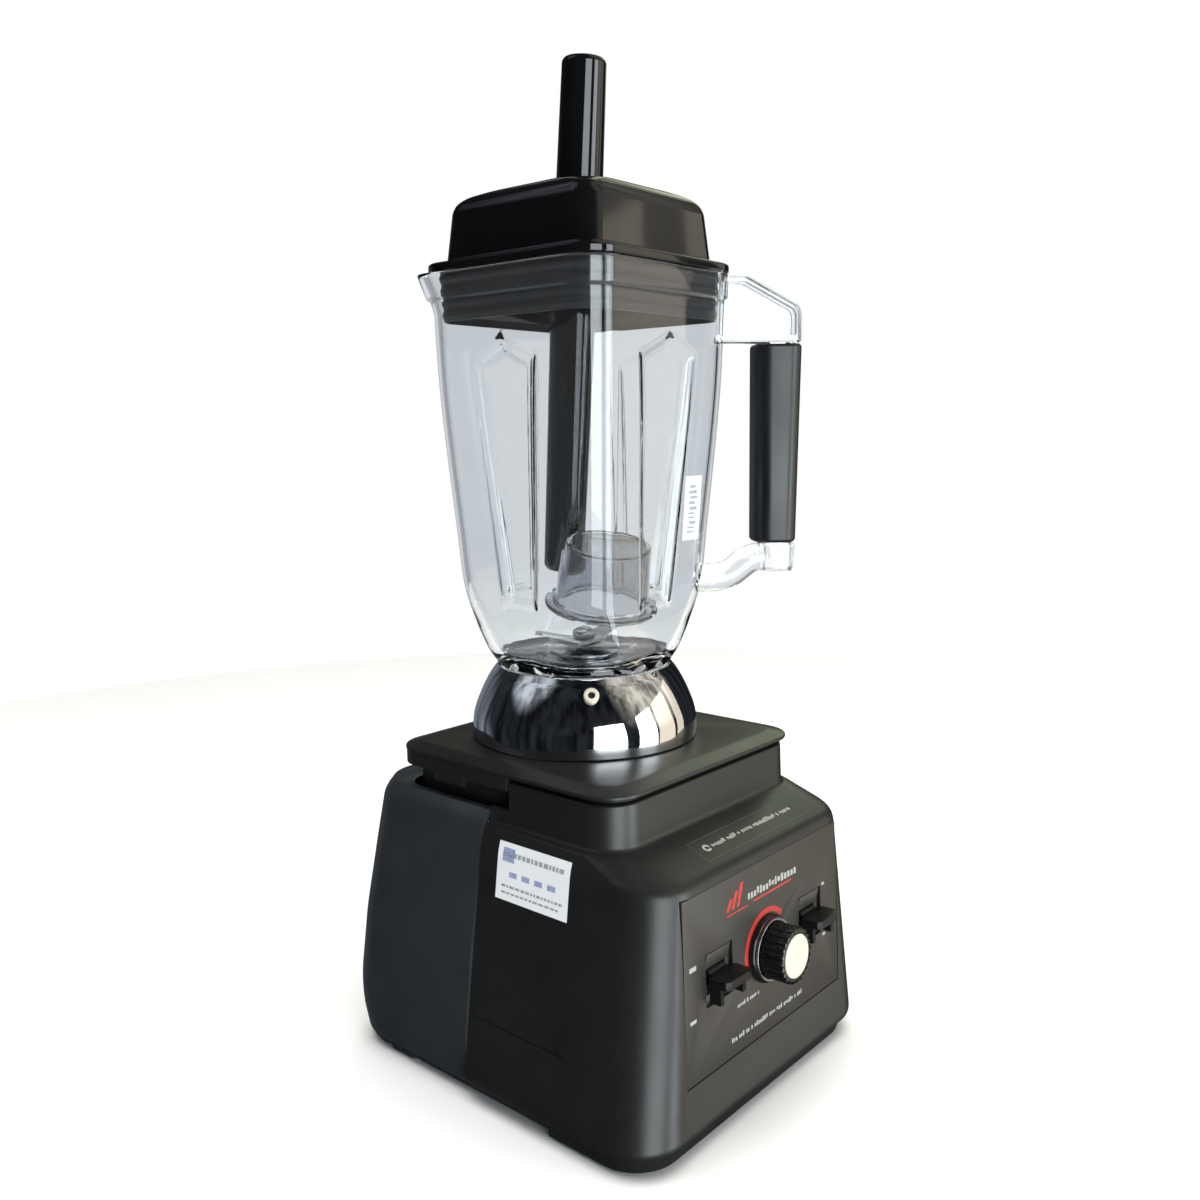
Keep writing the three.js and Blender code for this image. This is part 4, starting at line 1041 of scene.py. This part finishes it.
def build_world():
    """White behind the object. For reflections it is a dim, uneven room with lighter patches."""
    world = bpy.data.worlds.new("studio")
    bpy.context.scene.world = world
    world.use_nodes = True
    tree = world.node_tree
    place = add_node(tree, "TexCoord").outputs["Generated"]

    def toward(direction, start, full, low=0.0):
        """A share that grows from low to 1 as the ray turns towards a direction."""
        turn = add_node(tree, "VectorMath", {0: place, 1: Vector(direction).normalized()}, operation="DOT_PRODUCT")
        inputs = {"Value": turn.outputs["Value"], "From Min": start, "From Max": full, "To Min": low, "To Max": 1.0}
        return add_node(tree, "MapRange", inputs, interpolation_type="SMOOTHSTEP").outputs["Result"]

    color = ROOM_DARK
    for patch, direction, start, full in ROOM_PATCHES:
        inputs = {"Factor": toward(direction, start, full), "A": color, "B": patch}
        color = add_node(tree, "Mix", inputs, data_type="RGBA").outputs["Result"]
    streaks = add_node(tree, "Mapping", {"Vector": place, "Scale": STREAKS})
    noise = add_node(tree, "TexNoise", {"Vector": streaks.outputs["Vector"], "Scale": 1.0, "Detail": 3})
    uneven = add_node(tree, "MapRange", {"Value": noise.outputs["Fac"], "From Min": 0.38, "From Max": 0.62,
                                         "To Min": 0.35, "To Max": 1.5})
    room = tree.nodes["Background"]
    tree.links.new(color, room.inputs["Color"])
    tree.links.new(uneven.outputs["Result"], room.inputs["Strength"])
    white = add_node(tree, "Background", {"Color": (1, 1, 1, 1), "Strength": 1.0})
    rays = add_node(tree, "LightPath")
    through = add_node(tree, "Math", {0: toward(BACKDROP, 0.7, 0.97, BACKDROP_LEAST),
                                      1: rays.outputs["Is Transmission Ray"]}, operation="MULTIPLY")
    share = add_node(tree, "Math", {0: rays.outputs["Is Camera Ray"], 1: through.outputs["Value"]},
                     operation="MAXIMUM")
    mix = add_node(tree, "MixShader", {0: share.outputs["Value"], 1: room.outputs["Background"],
                                       2: white.outputs["Background"]})
    tree.links.new(mix.outputs["Shader"], tree.nodes["World Output"].inputs["Surface"])


def build_camera():
    heading, pitch, roll = (math.radians(value) for value in (CAMERA_HEADING, CAMERA_PITCH, CAMERA_ROLL))
    ahead = Vector((-math.sin(heading) * math.cos(pitch), math.cos(heading) * math.cos(pitch), -math.sin(pitch)))
    level = Vector((math.cos(heading), math.sin(heading), 0))
    above = level.cross(ahead)
    right = level * math.cos(roll) + above * math.sin(roll)
    up = above * math.cos(roll) - level * math.sin(roll)
    data = bpy.data.cameras.new("camera")
    data.lens = CAMERA_LENS
    data.shift_x, data.shift_y = CAMERA_SHIFT
    data.clip_start = 0.01
    camera = bpy.data.objects.new("camera", data)
    rotation = Matrix((right, up, -ahead)).transposed().to_4x4()
    camera.matrix_world = Matrix.Translation(CAMERA_PLACE * MM) @ rotation
    bpy.context.scene.collection.objects.link(camera)
    bpy.context.scene.camera = camera


build_front_housing()
build_rear_housing()
build_top_cap()
build_pad_and_feet()
build_panel()
build_switch("power", -1)
build_switch("pulse", 1)
build_knob()
build_sticker()
build_shelf_print()
build_jug()
build_grip()
build_collar()
build_jug_label()
build_bearing_housing()
build_shaft()
build_blades()
build_lid()
build_tamper()
build_cup()
build_back_fittings()
dress_cad_nodes()
build_floor()
build_light()
build_world()
build_camera()
bpy.context.scene.view_settings.view_transform = "Standard"
